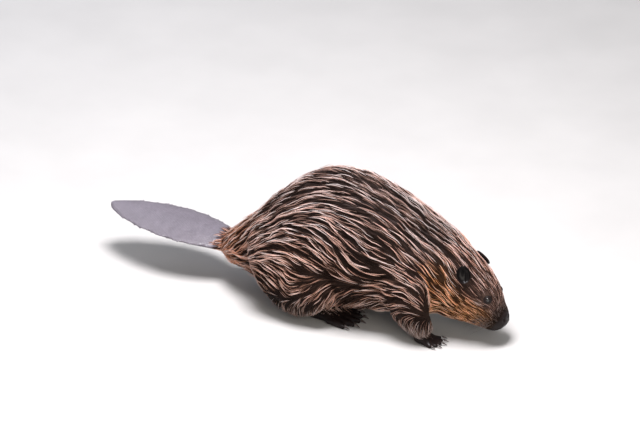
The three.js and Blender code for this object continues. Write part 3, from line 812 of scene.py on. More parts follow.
# How much of the coat's markings the underfur takes, and how far it is painted towards the shade colour
# as the shade below the coat; on the short hair of the face it takes more. The ears' skin by the shares
# of its colour in the cup and added on the rim.
UNDERFUR = SimpleNamespace(marks=0.12, dark=0.6, face_marks=0.2, face_ends=(45, 105))
EAR_IN_CUP, EAR_ON_RIM = 0.25, 1.9


def skin_colours(mm, part, shades):
    """Underfur painted dark as the shade below the coat, with a little of the coat's markings, and the
    leather where it is bare.
    """
    marks = markings(mm, part, shades)
    short = (1 - ease(head_place(mm)[0], *UNDERFUR.face_ends)) * is_part(part, HEAD, NOSE)
    under = blend(marks * UNDERFUR.marks, shades.shade, UNDERFUR.dark)
    under = blend(under, marks * UNDERFUR.face_marks, short[:, None])
    bare = np.repeat(shades.leather[None], len(mm), axis=0)
    bare = np.where((part == TAIL)[:, None], shades.tail, bare)
    ear = shades.ear * (EAR_IN_CUP + EAR_ON_RIM * ear_rim(mm))[:, None]
    bare = np.where((part == EAR_PART)[:, None], ear, bare)
    return blend(under, bare, bare_share(mm, part)[:, None])


class BEAVER_OT_skin(bpy.types.Operator):
    """Makes one skin over the whole animal, with the folds of the face, the lids and the ears"""
    bl_idname = "beaver.skin"
    bl_label = "Skin"

    def execute(self, context):
        sizes, shades = context.scene.beaver_sizes, shades_of(context.scene.beaver_colours)
        cad = cad_surface()
        skin = copy_of_nodes("skin", flesh_nodes())
        finish_modifier(skin, "DISPLACE", strength=SWELL, mid_level=0)
        finish_modifier(skin, "REMESH", mode="VOXEL", voxel_size=sizes.voxel, use_smooth_shade=True)
        finish_modifier(skin, "SMOOTH", factor=0.5, iterations=7)
        draw_in(skin, cad, sizes.coat_depth / MM)
        finish_modifier(skin, "SMOOTH", factor=0.5, iterations=3)
        for back, rise, out, reach in FINE_SKIN:
            refine_near(skin, model_m(on_head(back, rise, out)), reach)
        finish_modifier(skin, "SMOOTH", factor=0.5, iterations=2)
        part = cad.nearest(places(skin.data))[2]
        mm, normals = body_mm(places(skin.data)), directions(skin.data)
        mm = shape_body(mm, normals, part)
        put_places(skin.data, model_m(shape_face(mm, normals)))
        lids = [lid_ring(side) for side in (-1, 1)]
        for lid in lids:
            face_outwards(lid)
        join_into(skin, [add_ears(), *lids])
        skin.data.shade_smooth()
        part = cad.nearest(places(skin.data))[2]
        mm = body_mm(places(skin.data))
        put_colour(skin.data, "hide_colour", skin_colours(mm, part, shades))
        put_number(skin.data, "bare", bare_share(mm, part))
        put_number(skin.data, "part", part)
        done(skin, "coat_body", hide_material(), *flesh_nodes(), *nodes_like("ear"))
        return {"FINISHED"}


# ---- Coat -----------------------------------------------------------------------------------

# Long guard hair lies in ropes over short underfur, the ropes painted pale as lit ridges and the
# underfur painted dark as the shade between them. Rings are those of three vertices along a lock before
# its tip, and layer is the share of the coat's depth that its top reaches.
# Long, wide and drawn are shares of the full length and width, and of the way to the rope.
GUARD = SimpleNamespace(
    name="guard", rings=6, long=(0.75, 1.1), wide=(0.36, 0.62), layer=(0.75, 1.3), tone=(0.12, 1.0),
    drawn=0.62)
UNDER = SimpleNamespace(
    name="under", rings=3, long=(0.4, 0.62), wide=(0.7, 1.1), layer=(0.1, 0.4), tone=(0.0, 0.28),
    drawn=0.4)
# Ropes, by mm back from the nose: how hard they draw the hair, and how far to each side, in widths
# of a lock. One rope in three draws the others a little way to itself.
ROPE_PULL = ((15, 60, 120), (0.8, 1.05, 1.1))
ROPE_REACH = ((60, 170), (0.8, 1.28))
ROPE_RUN_ON = 0.6                   # steps that a rope runs on past its tip
# The contrast is that of painted light on the ridges against painted shade in the gaps.
ROPE_CONTRAST = ((120, 200), (1.45, 1.1))       # between ridge and gap, by mm back from the nose
ROPE_MIDDLE = 0.55                  # the tone that the contrast leaves alone
GAP_LOWER = 0.6                     # how much lower hair lies in the gap beside a rope
BUNCH = SimpleNamespace(one_in=3, pull=0.2)
HEAD_ROPES = SimpleNamespace(more=1.2, ends=(90, 190))  # ropes stand closer on the head
STRAY = SimpleNamespace(share=0.07, high=0.45)          # locks that stand clear of the coat
THINNEST_COAT, EAR_COAT = 0.9, 1.2  # depths in mm that locks take up at the least, and on the ears
ROOT_SUNK = 0.25                    # mm that each root lies inside the skin
OVER_FLOOR = 2                      # mm that the lowest hair stays off the floor
HEM_BELLY, HEM_LEG = 9, 6           # mm that the tips hang clear of the skin at the hems
# Where locks are sparse: shares of the full coat on the ears and feet, the height from which the
# feet have any, how far below the head's axis the tip of the muzzle loses its own, and how many
# are missing along a parting.
SPARSE = SimpleNamespace(ear=0.7, foot=0.5, foot_from=(14, 22), chin=(40, 60), parting=0.85)
# A lock's section, in half widths: its ridge over its line, and its feet under it.
LOCK_RIDGE, LOCK_FEET = 0.95, 0.4
# Colour by tone, which is 0 in the gaps and 1 on the ridges, as painted shade and painted light: the
# markings are nearly black, then full, and then blend to the painted glints, less of them on the snout
# and low on the sides.
TINT = SimpleNamespace(dark=0.04, full=1.6, over=(0.14, 0.78))
WARM_MIDS = (1.05, 0.9, 0.82)       # hair between dark and pale is a warmer brown
PAINTED_GLINT = SimpleNamespace(over=(0.55, 1.0), snout=0.3, more=0.4, beyond=(20, 110), side=0.45)
PIECE_TRIANGLES = 196000
PATCH = 0.003                   # share of the map that one lock covers
PATCH_PITCH = 0.0042            # distance between the cells the patches stand in
PATCH_SEARCH = 40               # cells each way that a lock may be put from its own place


def lock_faces(rings):
    """The faces of one lock: three sides that end in its tip, and its root closed."""
    faces, sizes, across, along = [], [], [], []
    sides = ((0, 1, 0.0, 0.45), (1, 2, 0.45, 0.9), (2, 0, 0.9, 1.0))
    for ring in range(rings - 1):
        for a, b, ua, ub in sides:
            low, high = ring * 3, ring * 3 + 3
            faces += [low + a, high + a, high + b, low + b]
            across += [ua, ua, ub, ub]
            along += [ring, ring + 1, ring + 1, ring]
            sizes.append(4)
    last, tip = (rings - 1) * 3, rings * 3
    for a, b, ua, ub in sides:
        faces += [last + a, tip, last + b]
        across += [ua, (ua + ub) / 2, ub]
        along += [rings - 1, rings, rings - 1]
        sizes.append(3)
    faces += [0, 1, 2]
    across += [0.0, 0.45, 0.9]
    along += [0, 0, 0]
    sizes.append(3)
    return tuple(map(np.array, (faces, sizes, across, np.array(along) / rings)))


def coat_allowed(mm, part, normals):
    """Where locks may root: 0 on bare skin, 1 in the coat."""
    back, rise = head_place(mm)
    allowed = 1 - bare_share(mm, part)
    cup = np.where((mm[:, 1] > 0)[:, None], EAR_PAIR[1].facing, EAR_PAIR[-1].facing)
    outer = (unit(cup) * normals).sum(axis=1) < 0.25
    allowed = np.where(part == EAR_PART, outer * SPARSE.ear, allowed)
    foot_top = (normals[:, 2] > -0.2) * ease(mm[:, 2], *SPARSE.foot_from)
    allowed = np.where(is_part(part, HIND_FOOT, FOREFOOT), foot_top * SPARSE.foot, allowed)
    allowed *= np.where((back < 6) & (part == HEAD), 1 - ease(-rise, *SPARSE.chin), 1)
    allowed *= mm[:, 0] > -BARE_TAIL[1]
    return allowed * (1 - SPARSE.parting * (in_a_parting(mm) > 0.5))


def scatter(skin, crowding, count, rng):
    """Places spread over the skin, as many to each face as its area and the crowding ask for."""
    a, b, c = (skin.points[skin.faces[:, i]] for i in range(3))
    area = np.linalg.norm(np.cross(b - a, c - a), axis=1) / 2
    share = area * crowding
    edges = np.cumsum(share) / share.sum()
    picked = np.searchsorted(edges, (np.arange(count) + rng.uniform(0, 1, count)) / count)
    picked = np.minimum(picked, len(area) - 1)
    u, v = rng.uniform(0, 1, (2, count))
    flip = u + v > 1
    u, v = np.where(flip, 1 - u, u)[:, None], np.where(flip, 1 - v, v)[:, None]
    return a[picked] + u * (b - a)[picked] + v * (c - a)[picked], picked


def comb(skin, roots, lengths, turn, steps):
    """Lays hairs along the skin: their places and the skin's outward direction at each step."""
    at, out, part = skin.nearest(roots)
    line, outs = [at], [out]
    stride = (lengths * MM / steps)[:, None]
    for _ in range(steps):
        mm = body_mm(at)
        lie = lie_of_coat(mm, part)
        lie = unit(lie - out * (lie * out).sum(axis=1, keepdims=True))
        side = np.cross(out, lie)
        lie = lie * np.cos(turn)[:, None] + side * np.sin(turn)[:, None]
        at, out, part = skin.nearest(at + lie * stride)
        line.append(at)
        outs.append(unit(out + outs[-1]))
    return np.stack(line, 1), np.stack(outs, 1)


def nearest_of(points, seeds):
    """The nearest of the seeds to each point, and how far off it is."""
    tree = kdtree.KDTree(len(seeds))
    for i, seed in enumerate(seeds.tolist()):
        tree.insert(seed, i)
    tree.balance()
    found = [tree.find(p) for p in points.tolist()]
    return np.array([f[1] for f in found]), np.array([f[2] for f in found])


def along_lines(lines, at):
    """Places at part steps along each line, run on straight past its ends."""
    low = np.clip(np.floor(at).astype(int), 0, lines.shape[1] - 2)
    rows = np.arange(len(lines))[:, None]
    return blend(lines[rows, low], lines[rows, low + 1], (at - low)[..., None])


def draw_together(skin, lines, ropes, reach, strength):
    """Draws hairs sideways on to the rope that runs nearest, and lays them on the skin again."""
    steps = ropes.shape[1] - 1
    middle = lines.shape[1] // 2
    found, far = nearest_of(lines[:, middle], ropes[:, 1:].reshape(-1, 3))
    owner, step = np.divmod(found, steps)
    share = np.linspace(0, 1, lines.shape[1])
    at = step[:, None] + 1 + (share - share[middle])[None] * steps * reach
    weight = np.asarray(strength)[..., None] * ease(share, -0.1, 0.6)
    on_rope = along_lines(ropes[owner], np.minimum(at, steps + ROPE_RUN_ON))
    drawn = blend(lines, on_rope, weight[..., None])
    at, out, _ = skin.nearest(drawn.reshape(-1, 3))
    return at.reshape(lines.shape), out.reshape(lines.shape), owner, far


def skin_as_surface(ob):
    mesh = ob.data
    faces = triangles(mesh)
    part = np.empty(len(mesh.vertices), np.float32)
    mesh.attributes["part"].data.foreach_get("value", part)
    part = np.round(part).astype(int)
    return Surface(places(mesh), faces, directions(mesh), part[faces[:, 0]])


def crowd(skin, sizes):
    """How close locks stand at each face of the skin, and their length and width there."""
    mm, part = body_mm(skin.points[skin.faces].mean(axis=1)), skin.face_part
    long, wide = lock_size(mm, part, sizes.lock_length / MM, sizes.lock_width / MM)
    return coat_allowed(mm, part, skin.face_normals) / (long * wide)


def lay_ropes(skin, sizes, rng):
    """The lines of the wet ropes that the guard hair is drawn into."""
    crowding = crowd(skin, sizes)
    middles = body_mm(skin.points[skin.faces].mean(axis=1))
    on_the_head = 1 - ease(head_place(middles)[0], *HEAD_ROPES.ends)
    crowding = crowding * (1 + HEAD_ROPES.more * on_the_head)
    roots, face = scatter(skin, crowding, sizes.ropes, rng)
    full = sizes.lock_length / MM, sizes.lock_width / MM
    long = lock_size(body_mm(roots), skin.face_part[face], *full)[0]
    turn = np.radians(rng.normal(0, 8, sizes.ropes))
    lines, _ = comb(skin, roots, long * rng.uniform(0.9, 1.3, sizes.ropes), turn, GUARD.rings)
    bunch = rng.permutation(sizes.ropes)[:sizes.ropes // BUNCH.one_in]
    return draw_together(skin, lines, lines[bunch], 1.0, np.full(sizes.ropes, BUNCH.pull))[0]


def hang(mm, part, kind):
    """How far the tips hang clear of the skin along the hems of the belly, elbow and thigh, in mm."""
    low = ease(side_share(mm), 0.7, 0.84) * (1 - ease(side_share(mm), 0.93, 1.0))
    low = low * ease(head_place(mm)[0], 150, 210) * is_part(part, TRUNK, NECK)
    leg = is_part(part, HIND_LEG, FORELEG) * ease(-mm[:, 2], -75, -45) * ease(mm[:, 2], 18, 34)
    return (HEM_BELLY * low + HEM_LEG * leg) * (kind is GUARD)


def lay_locks(skin, ropes, kind, count, sizes, shades, rng):
    """Locks of one kind: their lines, widths, outward directions and colours."""
    roots, face = scatter(skin, crowd(skin, sizes), count, rng)
    mm, part = body_mm(roots), skin.face_part[face]
    long, wide = lock_size(mm, part, sizes.lock_length / MM, sizes.lock_width / MM)
    depth = coat_depth(mm, part, sizes.coat_depth / MM)
    depth = np.where(part == EAR_PART, EAR_COAT, np.maximum(depth, THINNEST_COAT))
    turn = np.radians(rng.normal(0, 4, count))
    lines, _ = comb(skin, roots, long * rng.uniform(*kind.long, count), turn, kind.rings)
    back = head_place(mm)[0]
    strength = np.clip(kind.drawn * rng.uniform(0.7, 1.15, count), 0, 0.92)
    strength = strength * np.interp(back, *ROPE_PULL)
    lines, outs, owner, far = draw_together(skin, lines, ropes, sum(kind.long) / 2, strength)
    # 0 on the rope's ridge and 1 in the gap beside it, where hair is low and painted dark as shade.
    edge = np.clip(far / MM / (wide * np.interp(back, *ROPE_REACH)), 0, 1)
    rope = rng.uniform(0, 1, (2, len(ropes)))[:, owner]
    layer = rng.uniform(*kind.layer, count) * (1 - GAP_LOWER * edge ** 1.3) * (0.7 + 0.3 * rope[0])
    share = np.linspace(0, 1, kind.rings + 1)[None]
    rise = (1 - (1 - share) ** 2.6) * (1 - 0.4 * share ** 2)
    stray = (rng.uniform(0, 1, count) < STRAY.share) * rng.uniform(0.2, 1, count) * depth * STRAY.high
    height = (depth * layer)[:, None] * rise + stray[:, None] * share ** 2 - ROOT_SUNK
    centre = lines + outs * (height * MM)[..., None]
    centre[:, :, 2] -= hang(mm, part, kind)[:, None] * share ** 2 * MM
    centre[:, :, 2] = np.maximum(centre[:, :, 2], OVER_FLOOR * MM)
    # Tone falls towards the gap beside a rope: painted light on the ridges and painted shade in the
    # gaps.
    spread = 0.35 * rope[1] + 0.45 * rng.uniform(0, 1, count) + 0.5 - 0.95 * edge ** 1.5
    spread = ROPE_MIDDLE + (spread - ROPE_MIDDLE) * np.interp(back, *ROPE_CONTRAST)
    tone = kind.tone[0] + (kind.tone[1] - kind.tone[0]) * np.clip(spread, 0, 1)
    return SimpleNamespace(
        kind=kind, mm=mm, part=part, back=back, centre=centre, outs=outs,
        wide=wide * rng.uniform(*kind.wide, count), tone=tone, tint=markings(mm, part, shades),
        twist=rng.normal(0, 0.3, count), seed=rng.uniform(0, 1, count),
    )


EYE_CLEAR = 9.2                     # mm from the middle of an eyeball that no lock comes within
CUP_CLEAR = (-4.5, 12)              # mm behind and before an ear's middle, the same


def covers_eye_or_ear(centre):
    """Which locks would run across an eye or through the hollow of an ear."""
    mm, covered = body_mm(centre), False
    for side in (-1, 1):
        eye = np.linalg.norm(mm - on_head(EYE.back, EYE.rise, side * EYE.out), axis=2) < EYE_CLEAR
        u, v, before = in_ear(mm, side)
        cup = (np.hypot(u, v) < 1.0) & (before > CUP_CLEAR[0]) & (before < CUP_CLEAR[1])
        covered = covered | (eye | cup).any(axis=1)
    return covered


def lock_points(coat):
    """The vertices of all locks, three round each place on a lock's line and one at its tip."""
    rings = coat.kind.rings
    ahead = unit(np.gradient(coat.centre, axis=1))
    side = unit(np.cross(coat.outs, ahead))
    out = unit(np.cross(ahead, side))
    turn = coat.twist[:, None, None]
    side, out = side * np.cos(turn) + out * np.sin(turn), out * np.cos(turn) - side * np.sin(turn)
    share = np.linspace(0, 1, rings + 1)[:rings]
    taper = (0.62 + 0.38 * np.sin(np.pi * np.minimum(share / 0.45, 1) / 2)) * (1 - share ** 2.4)
    half = (coat.wide[:, None] * taper[None] * 0.5 * MM)[..., None]
    core, side, out = coat.centre[:, :rings], side[:, :rings], out[:, :rings]
    left = core - side * half - out * half * LOCK_FEET
    ridge = core + out * half * LOCK_RIDGE
    right = core + side * half - out * half * LOCK_FEET
    body = np.stack([left, ridge, right], axis=2).reshape(len(core), rings * 3, 3)
    return np.concatenate([body, coat.centre[:, rings:]], axis=1)


def hair_colours(coat, shades):
    """Each vertex's colour: painted shade near black at the root, the coat's own colour, and painted
    glints on top.
    """
    rings = coat.kind.rings
    share = np.append(np.repeat(np.linspace(0, 1, rings + 1)[:rings], 3), 1.0)[None, :, None]
    tone = coat.tone[:, None, None]
    tint = coat.tint[:, None, :]
    own = blend(tint * TINT.dark, tint * TINT.full, ease(tone, *TINT.over))
    own = own * blend(np.array(WARM_MIDS), 1.0, ease(tone, 0.4, 1.0))
    beyond = ease(coat.back, *PAINTED_GLINT.beyond)[:, None, None]
    pale = ease(tone, *PAINTED_GLINT.over) * (PAINTED_GLINT.more * beyond + PAINTED_GLINT.snout)
    pale = pale * (1 - PAINTED_GLINT.side * ease(side_share(coat.mm), 0.3, 0.75)[:, None, None])
    own = blend(own, shades.glint, pale)
    # Painted shade: each lock darkens towards the shade colour at its root, down in the coat, and a
    # little at its tip.
    lit = ease(share, -0.05, 0.35) * (1 - 0.25 * ease(share, 0.75, 1.0))
    return blend(blend(own, shades.shade, 0.8), own, lit)


def own_patches(wanted):
    """A free cell of the map for each lock, the nearest to its root's place on the unwrapped skin."""
    cells = int(1 / PATCH_PITCH)
    reach = np.arange(-PATCH_SEARCH, PATCH_SEARCH + 1)
    steps = np.stack(np.meshgrid(reach, reach), -1).reshape(-1, 2)
    steps = steps[np.argsort((steps ** 2).sum(axis=1), kind="stable")].tolist()
    taken, out = set(), []
    for u, v in np.clip((wanted * cells).astype(int), 0, cells - 1).tolist():
        for du, dv in steps:
            cell = (u + du, v + dv)
            if 0 <= cell[0] < cells and 0 <= cell[1] < cells and cell not in taken:
                break
        taken.add(cell)
        out.append(cell)
    return (np.array(out) + 0.15) * PATCH_PITCH


# The legs' own lines: at these heights they stand so far along, and all so far out.
HIND_LEG_LINE, FORELEG_LINE = ((20, 200), (-255, -345)), ((20, 170), (-26, -74))
LEG_OUT, LEG_TALL = 80, 215


def unwrap(mm, part, kind):
    """Places on the skin unrolled about the spine, the head's axis, or each leg's own line."""
    back, rise = head_place(mm)
    if kind == "head":
        u, v = back, np.arctan2(mm[:, 1], rise + 0.3 * back + 8)
    elif kind == "body":
        spine = np.interp(mm[:, 0], TRUNK_X, (np.array(TRUNK_TOP) + TRUNK_BELLY) / 2)
        u, v = mm[:, 0], np.arctan2(mm[:, 1], mm[:, 2] - spine)
    else:
        hind = is_part(part, HIND_LEG, HIND_FOOT)
        centre_x = np.where(
            hind, np.interp(mm[:, 2], *HIND_LEG_LINE), np.interp(mm[:, 2], *FORELEG_LINE))
        turn = np.arctan2(mm[:, 0] - centre_x, np.abs(mm[:, 1]) - LEG_OUT) / (2 * math.pi) + 0.5
        u = np.clip(mm[:, 2] / LEG_TALL, 0, 0.999) / 2 + 0.5 * (mm[:, 1] > 0)
        v = turn * 0.49 + 0.5 * hind
        return np.stack([u, v], 1)
    flat = np.stack([u, v], 1)
    low, high = flat.min(axis=0), flat.max(axis=0)
    return (flat - low) / (high - low)


def coat_piece(name, coat, pick, place, points, colours):
    """One piece of the coat from the picked locks, with its maps and attributes."""
    faces, sizes, across, along = lock_faces(coat.kind.rings)
    count = len(pick)
    vertices = coat.kind.rings * 3 + 1
    index = (np.arange(count)[:, None] * vertices + faces[None]).ravel()
    ob = mesh_object(name, points[pick].reshape(-1, 3), index, np.tile(sizes, count))
    mesh = ob.data
    patch = own_patches(unwrap(coat.mm[pick], coat.part[pick], place))
    baked = np.stack([patch[:, :1] + PATCH * across[None], patch[:, 1:] + PATCH * along[None]], -1)
    mesh.uv_layers.new(name="OFBake").data.foreach_set("uv", baked.astype(np.float32).ravel())
    seed = coat.seed[pick][:, None] * 97
    strand = np.stack([across[None] + seed, along[None] + seed * 0.37], -1)
    mesh.uv_layers.new(name="strand").data.foreach_set("uv", strand.astype(np.float32).ravel())
    put_colour(mesh, "hair_colour", colours[pick].reshape(-1, 3))
    return ob


HEAD_COAT_ENDS = 165                # mm back from the nose


def coat_places(coat):
    """Which locks belong to the head, the legs and the body, and the order they are cut up in."""
    legs = is_part(coat.part, HIND_LEG, FORELEG, HIND_FOOT, FOREFOOT)
    head = ~legs & (coat.back < HEAD_COAT_ENDS) & is_part(coat.part, HEAD, NECK, NOSE, EAR_PART)
    body = ~legs & ~head
    return (("head", head, coat.back), ("leg", legs, coat.mm[:, 2]), ("body", body, coat.mm[:, 0]))


class BEAVER_OT_coat(bpy.types.Operator):
    """Grows the coat: tapered locks laid along the skin and drawn together in wet clumps"""
    bl_idname = "beaver.coat"
    bl_label = "Coat"

    def execute(self, context):
        sizes, shades = context.scene.beaver_sizes, shades_of(context.scene.beaver_colours)
        skin = skin_as_surface(bpy.data.objects["skin"])
        rng = np.random.default_rng(SEEDS.coat)
        ropes = lay_ropes(skin, sizes, rng)
        finishes = {
            "guard": coat_material("wet_guard_hair", 0.8, 0.27),
            "under": coat_material("wet_underfur", 0.1, 0.5),
        }
        for kind, count in ((UNDER, sizes.under_locks), (GUARD, sizes.guard_locks)):
            coat = lay_locks(skin, ropes, kind, count, sizes, shades, rng)
            clear = ~covers_eye_or_ear(coat.centre)
            points, colours = lock_points(coat), hair_colours(coat, shades)
            for place, inside, order in coat_places(coat):
                chosen = np.flatnonzero(inside & clear)
                chosen = chosen[np.argsort(order[chosen], kind="stable")]
                pieces = math.ceil(len(chosen) * (kind.rings * 6 - 2) / PIECE_TRIANGLES)
                for i, pick in enumerate(np.array_split(chosen, pieces)):
                    name = f"coat_{place}_{kind.name}_{i + 1}"
                    piece = coat_piece(name, coat, pick, place, points, colours)
                    done(piece, f"coat_{place}", finishes[kind.name])
        return {"FINISHED"}


# ---- Eyes, claws, whiskers and tail scales ---------------------------------------------------


class BEAVER_OT_eyes(bpy.types.Operator):
    """Makes the eyeballs, each with a clear bulge over its dark iris"""
    bl_idname = "beaver.eyes"
    bl_label = "Eyes"

    def execute(self, context):
        sizes = context.scene.beaver_sizes
        material = eye_material(context.scene.beaver_colours)
        for name, side in (("right", -1), ("left", 1)):
            centre = Vector(model_m(on_head(EYE.back, EYE.rise, side * EYE.out)))
            deselect()
            bpy.ops.mesh.primitive_uv_sphere_add(
                segments=48, ring_count=32, radius=sizes.eye_radius, location=centre)
            eye = bpy.context.object
            eye.name = eye.data.name = f"eyeball_{name}"
            bpy.ops.object.transform_apply(location=True, rotation=True, scale=True)
            outward = unit(np.array(EYE_OUTLOOK) * [1, side, 1])
            spot = places(eye.data) - np.array(centre)
            facing = unit(spot) @ outward
            spot *= (1 + CORNEA * ease(facing, 0.6, 1))[:, None]
            put_places(eye.data, spot + np.array(centre))
            put_number(eye.data, "from_pupil", np.arccos(np.clip(facing, -1, 1)))
            eye.data.shade_smooth()
            done(eye, "eye", material, f"eye_{name}")
        return {"FINISHED"}


class BEAVER_OT_claws(bpy.types.Operator):
    """Rounds the twenty claws and joins them in one piece"""
    bl_idname = "beaver.claws"
    bl_label = "Claws"

    def execute(self, context):
        nodes = [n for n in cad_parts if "_claw_" in n]
        claws = copy_of_nodes("claws", nodes)
        finish_modifier(claws, "SUBSURF", levels=2, render_levels=2)
        claws.data.shade_smooth()
        done(claws, "claw_horn", claw_material(context.scene.beaver_colours), *nodes)
        return {"FINISHED"}


def tapered_hairs(name, lines, thick, sides=5):
    """Fine hairs as closed tapered tubes along their lines."""
    count, steps = lines.shape[:2]
    ahead = unit(np.gradient(lines, axis=1))
    across = unit(np.cross(ahead, [0.31, 0.17, 0.93]))
    other = np.cross(ahead, across)
    turn = np.arange(sides) * 2 * math.pi / sides
    taper = thick * (1 - 0.93 * np.linspace(0, 1, steps) ** 1.5)
    ring = across[:, :, None] * np.cos(turn)[:, None] + other[:, :, None] * np.sin(turn)[:, None]
    points = lines[:, :, None] + ring * taper[None, :, None, None]
    faces, sizes = [], []
    for hair in range(count):
        first = hair * steps * sides
        for step in range(steps - 1):
            low, high = first + step * sides, first + (step + 1) * sides
            for k in range(sides):
                m = (k + 1) % sides
                faces += [low + k, low + m, high + m, high + k]
                sizes.append(4)
        faces += [first + k for k in reversed(range(sides))]
        faces += [first + (steps - 1) * sides + k for k in range(sides)]
        sizes += [sides, sides]
    return mesh_object(name, points.reshape(-1, 3), faces, sizes)


# Whiskers: how many, how thick in metres, how far their roots are sunk in mm, and their lengths as
# shares of the longest. On the muzzle the rows are 6 mm apart, and their roots 5.5 mm.
WHISKERS = SimpleNamespace(
    rows=4, in_row=5, over_eye=3, thick=0.00034, sunk=1.5, long=(0.35, 0.9), over_eye_long=0.25)


class BEAVER_OT_whiskers(bpy.types.Operator):
    """Sets the whiskers in rows on the sides of the muzzle, and a few over each eye"""
    bl_idname = "beaver.whiskers"
    bl_label = "Whiskers"

    def execute(self, context):
        longest = context.scene.beaver_sizes.whisker / MM
        rng = np.random.default_rng(SEEDS.whiskers)
        skin = skin_as_surface(bpy.data.objects["skin"])
        lines = []
        for side in (-1, 1):
            for row in range(WHISKERS.rows):
                for place in range(WHISKERS.in_row):
                    back, rise = 8 + place * 5.5 + row, -9 - row * 6 - place * 0.8
                    long = longest * rng.uniform(*WHISKERS.long)
                    lines.append(self.hair(skin, on_head(back, rise, side * 33), side, long, rng, row))
            for place in range(WHISKERS.over_eye):
                root = on_head(EYE.back + 5 - place * 5, EYE.rise + 10, side * 30)
                lines.append(self.hair(skin, root, side, longest * WHISKERS.over_eye_long, rng, 0))
        hairs = tapered_hairs("whiskers", model_m(np.array(lines)), WHISKERS.thick)
        face_outwards(hairs)
        done(hairs, "coat_head", whisker_material(context.scene.beaver_colours))
        return {"FINISHED"}

    def hair(self, skin, root, side, long, rng, row):
        at, out, _ = skin.nearest(model_m(root)[None])
        root = body_mm(at)[0] - out[0] * WHISKERS.sunk
        way = out[0] * 0.5 + np.array([-0.85, side * 0.3, 0.3 - row * 0.12]) + rng.normal(0, 0.14, 3)
        share = np.linspace(0, 1, 8)[:, None]
        sag = np.array([-0.22, side * -0.05, -0.3])
        return root + unit(way) * share * long + sag * share ** 2 * long * 0.5


SCALE_FIELD = SimpleNamespace(x=(-786, -522), y=(-78, 78))      # body mm that the rows run over
SCALE_LEVELS = ((1.0, -0.9), (1.0, 0.1), (0.78, 0.32))          # share of its size, and mm of lift
SCALE_POINTS = 6 * len(SCALE_LEVELS)
SCALE_FILL = (0.6, 0.53)            # half a scale's length and width, as shares of the row's
TOO_STEEP = 0.45                    # the tail's edges and root have no scales


class BEAVER_OT_tail_scales(bpy.types.Operator):
    """Covers the tail above and below with low six-sided scales in offset rows"""
    bl_idname = "beaver.tail_scales"
    bl_label = "Tail scales"

    def execute(self, context):
        sizes, shades = context.scene.beaver_sizes, shades_of(context.scene.beaver_colours)
        skin = skin_as_surface(bpy.data.objects["skin"])
        long, wide = sizes.scale_long / MM, sizes.scale_wide / MM
        rng = np.random.default_rng(SEEDS.scales)
        points, tones = [], []
        for row, x in enumerate(np.arange(*SCALE_FIELD.x, long)):
            for y in np.arange(*SCALE_FIELD.y, wide) + (row % 2) * wide / 2:
                for way in (-1, 1):
                    self.scale(skin, x, y, way, long, wide, rng, points, tones)
        one, sides = [], []
        for a, b in ((0, 6), (6, 12)):
            for k in range(6):
                m = (k + 1) % 6
                one += [a + k, a + m, b + m, b + k]
                sides.append(4)
        one += [12 + k for k in range(6)]
        one += [5 - k for k in range(6)]
        sides += [6, 6]
        count = len(points)
        index = (np.arange(count)[:, None] * SCALE_POINTS + np.array(one)[None]).ravel()
        scales = mesh_object("tail_scales", np.concatenate(points), index, np.tile(sides, count))
        scales.data.polygons.foreach_set("use_smooth", np.zeros(len(scales.data.polygons), bool))
        own = np.array(tones)[:, None] * shades.tail
        put_colour(scales.data, "scale_colour", np.repeat(own, SCALE_POINTS, axis=0))
        done(scales, "tail_skin", scale_material())
        return {"FINISHED"}

    def scale(self, skin, x, y, way, long, wide, rng, points, tones):
        start = Vector(model_m([x + rng.normal(0, 0.2), y + rng.normal(0, 0.2), 100 + way * 60]))
        hit, normal, index, _ = skin.tree.ray_cast(start, Vector((0, 0, -way)))
        if hit is None or skin.face_part[index] != TAIL or abs(normal.z) < TOO_STEEP:
            return
        out = skin.face_normals[index]
        ahead = unit(np.array([1.0, 0, 0]) - out * out[0])
        side = np.cross(out, ahead)
        angle = np.arange(6) * math.pi / 3 + rng.normal(0, 0.05)
        at = np.array(hit)
        for grow, lift in SCALE_LEVELS:
            flat = ahead * (np.cos(angle) * long * SCALE_FILL[0] * grow)[:, None]
            flat = flat + side * (np.sin(angle) * wide * SCALE_FILL[1] * grow)[:, None]
            points.append(at + (flat + out * lift) * MM)
        points[-3:] = [np.concatenate(points[-3:])]
        tones.append(rng.uniform(0.93, 1.07))


# ---- Materials ------------------------------------------------------------------------------


def new_material(name):
    material = bpy.data.materials.new(name)
    material.use_nodes = True
    tree = material.node_tree
    tree.nodes.clear()
    surface = node(tree, "ShaderNodeBsdfPrincipled")
    node(tree, "ShaderNodeOutputMaterial", {"Surface": surface.outputs["BSDF"]})
    return material, tree, surface


def node(tree, kind, inputs=None, **settings):
    """Adds a node with its settings, and sets or links its inputs."""
    made = tree.nodes.new(kind)
    for key, value in settings.items():
        setattr(made, key, value)
    set_inputs(tree, made, inputs or {})
    return made


def set_inputs(tree, made, values):
    """Links each input that is given a socket, and sets the others."""
    for key, value in values.items():
        if isinstance(value, bpy.types.NodeSocket):
            tree.links.new(value, made.inputs[key])
        else:
            made.inputs[key].default_value = value


def stretched(tree, vector, scale):
    """A place with its axes scaled, so that a pattern on it is drawn out along the smaller ones."""
    return node(tree, "ShaderNodeMapping", {"Vector": vector, "Scale": scale}).outputs[0]


def object_place(tree, scale):
    return stretched(tree, node(tree, "ShaderNodeTexCoord").outputs["Object"], scale)


def noise(tree, vector, scale, detail=3.0, rough=0.5):
    return node(tree, "ShaderNodeTexNoise",
                {"Vector": vector, "Scale": scale, "Detail": detail, "Roughness": rough}).outputs["Fac"]


def ranged(tree, value, low, high, new_low, new_high):
    limits = {"From Min": low, "From Max": high, "To Min": new_low, "To Max": new_high}
    return node(tree, "ShaderNodeMapRange", {"Value": value, **limits}).outputs["Result"]


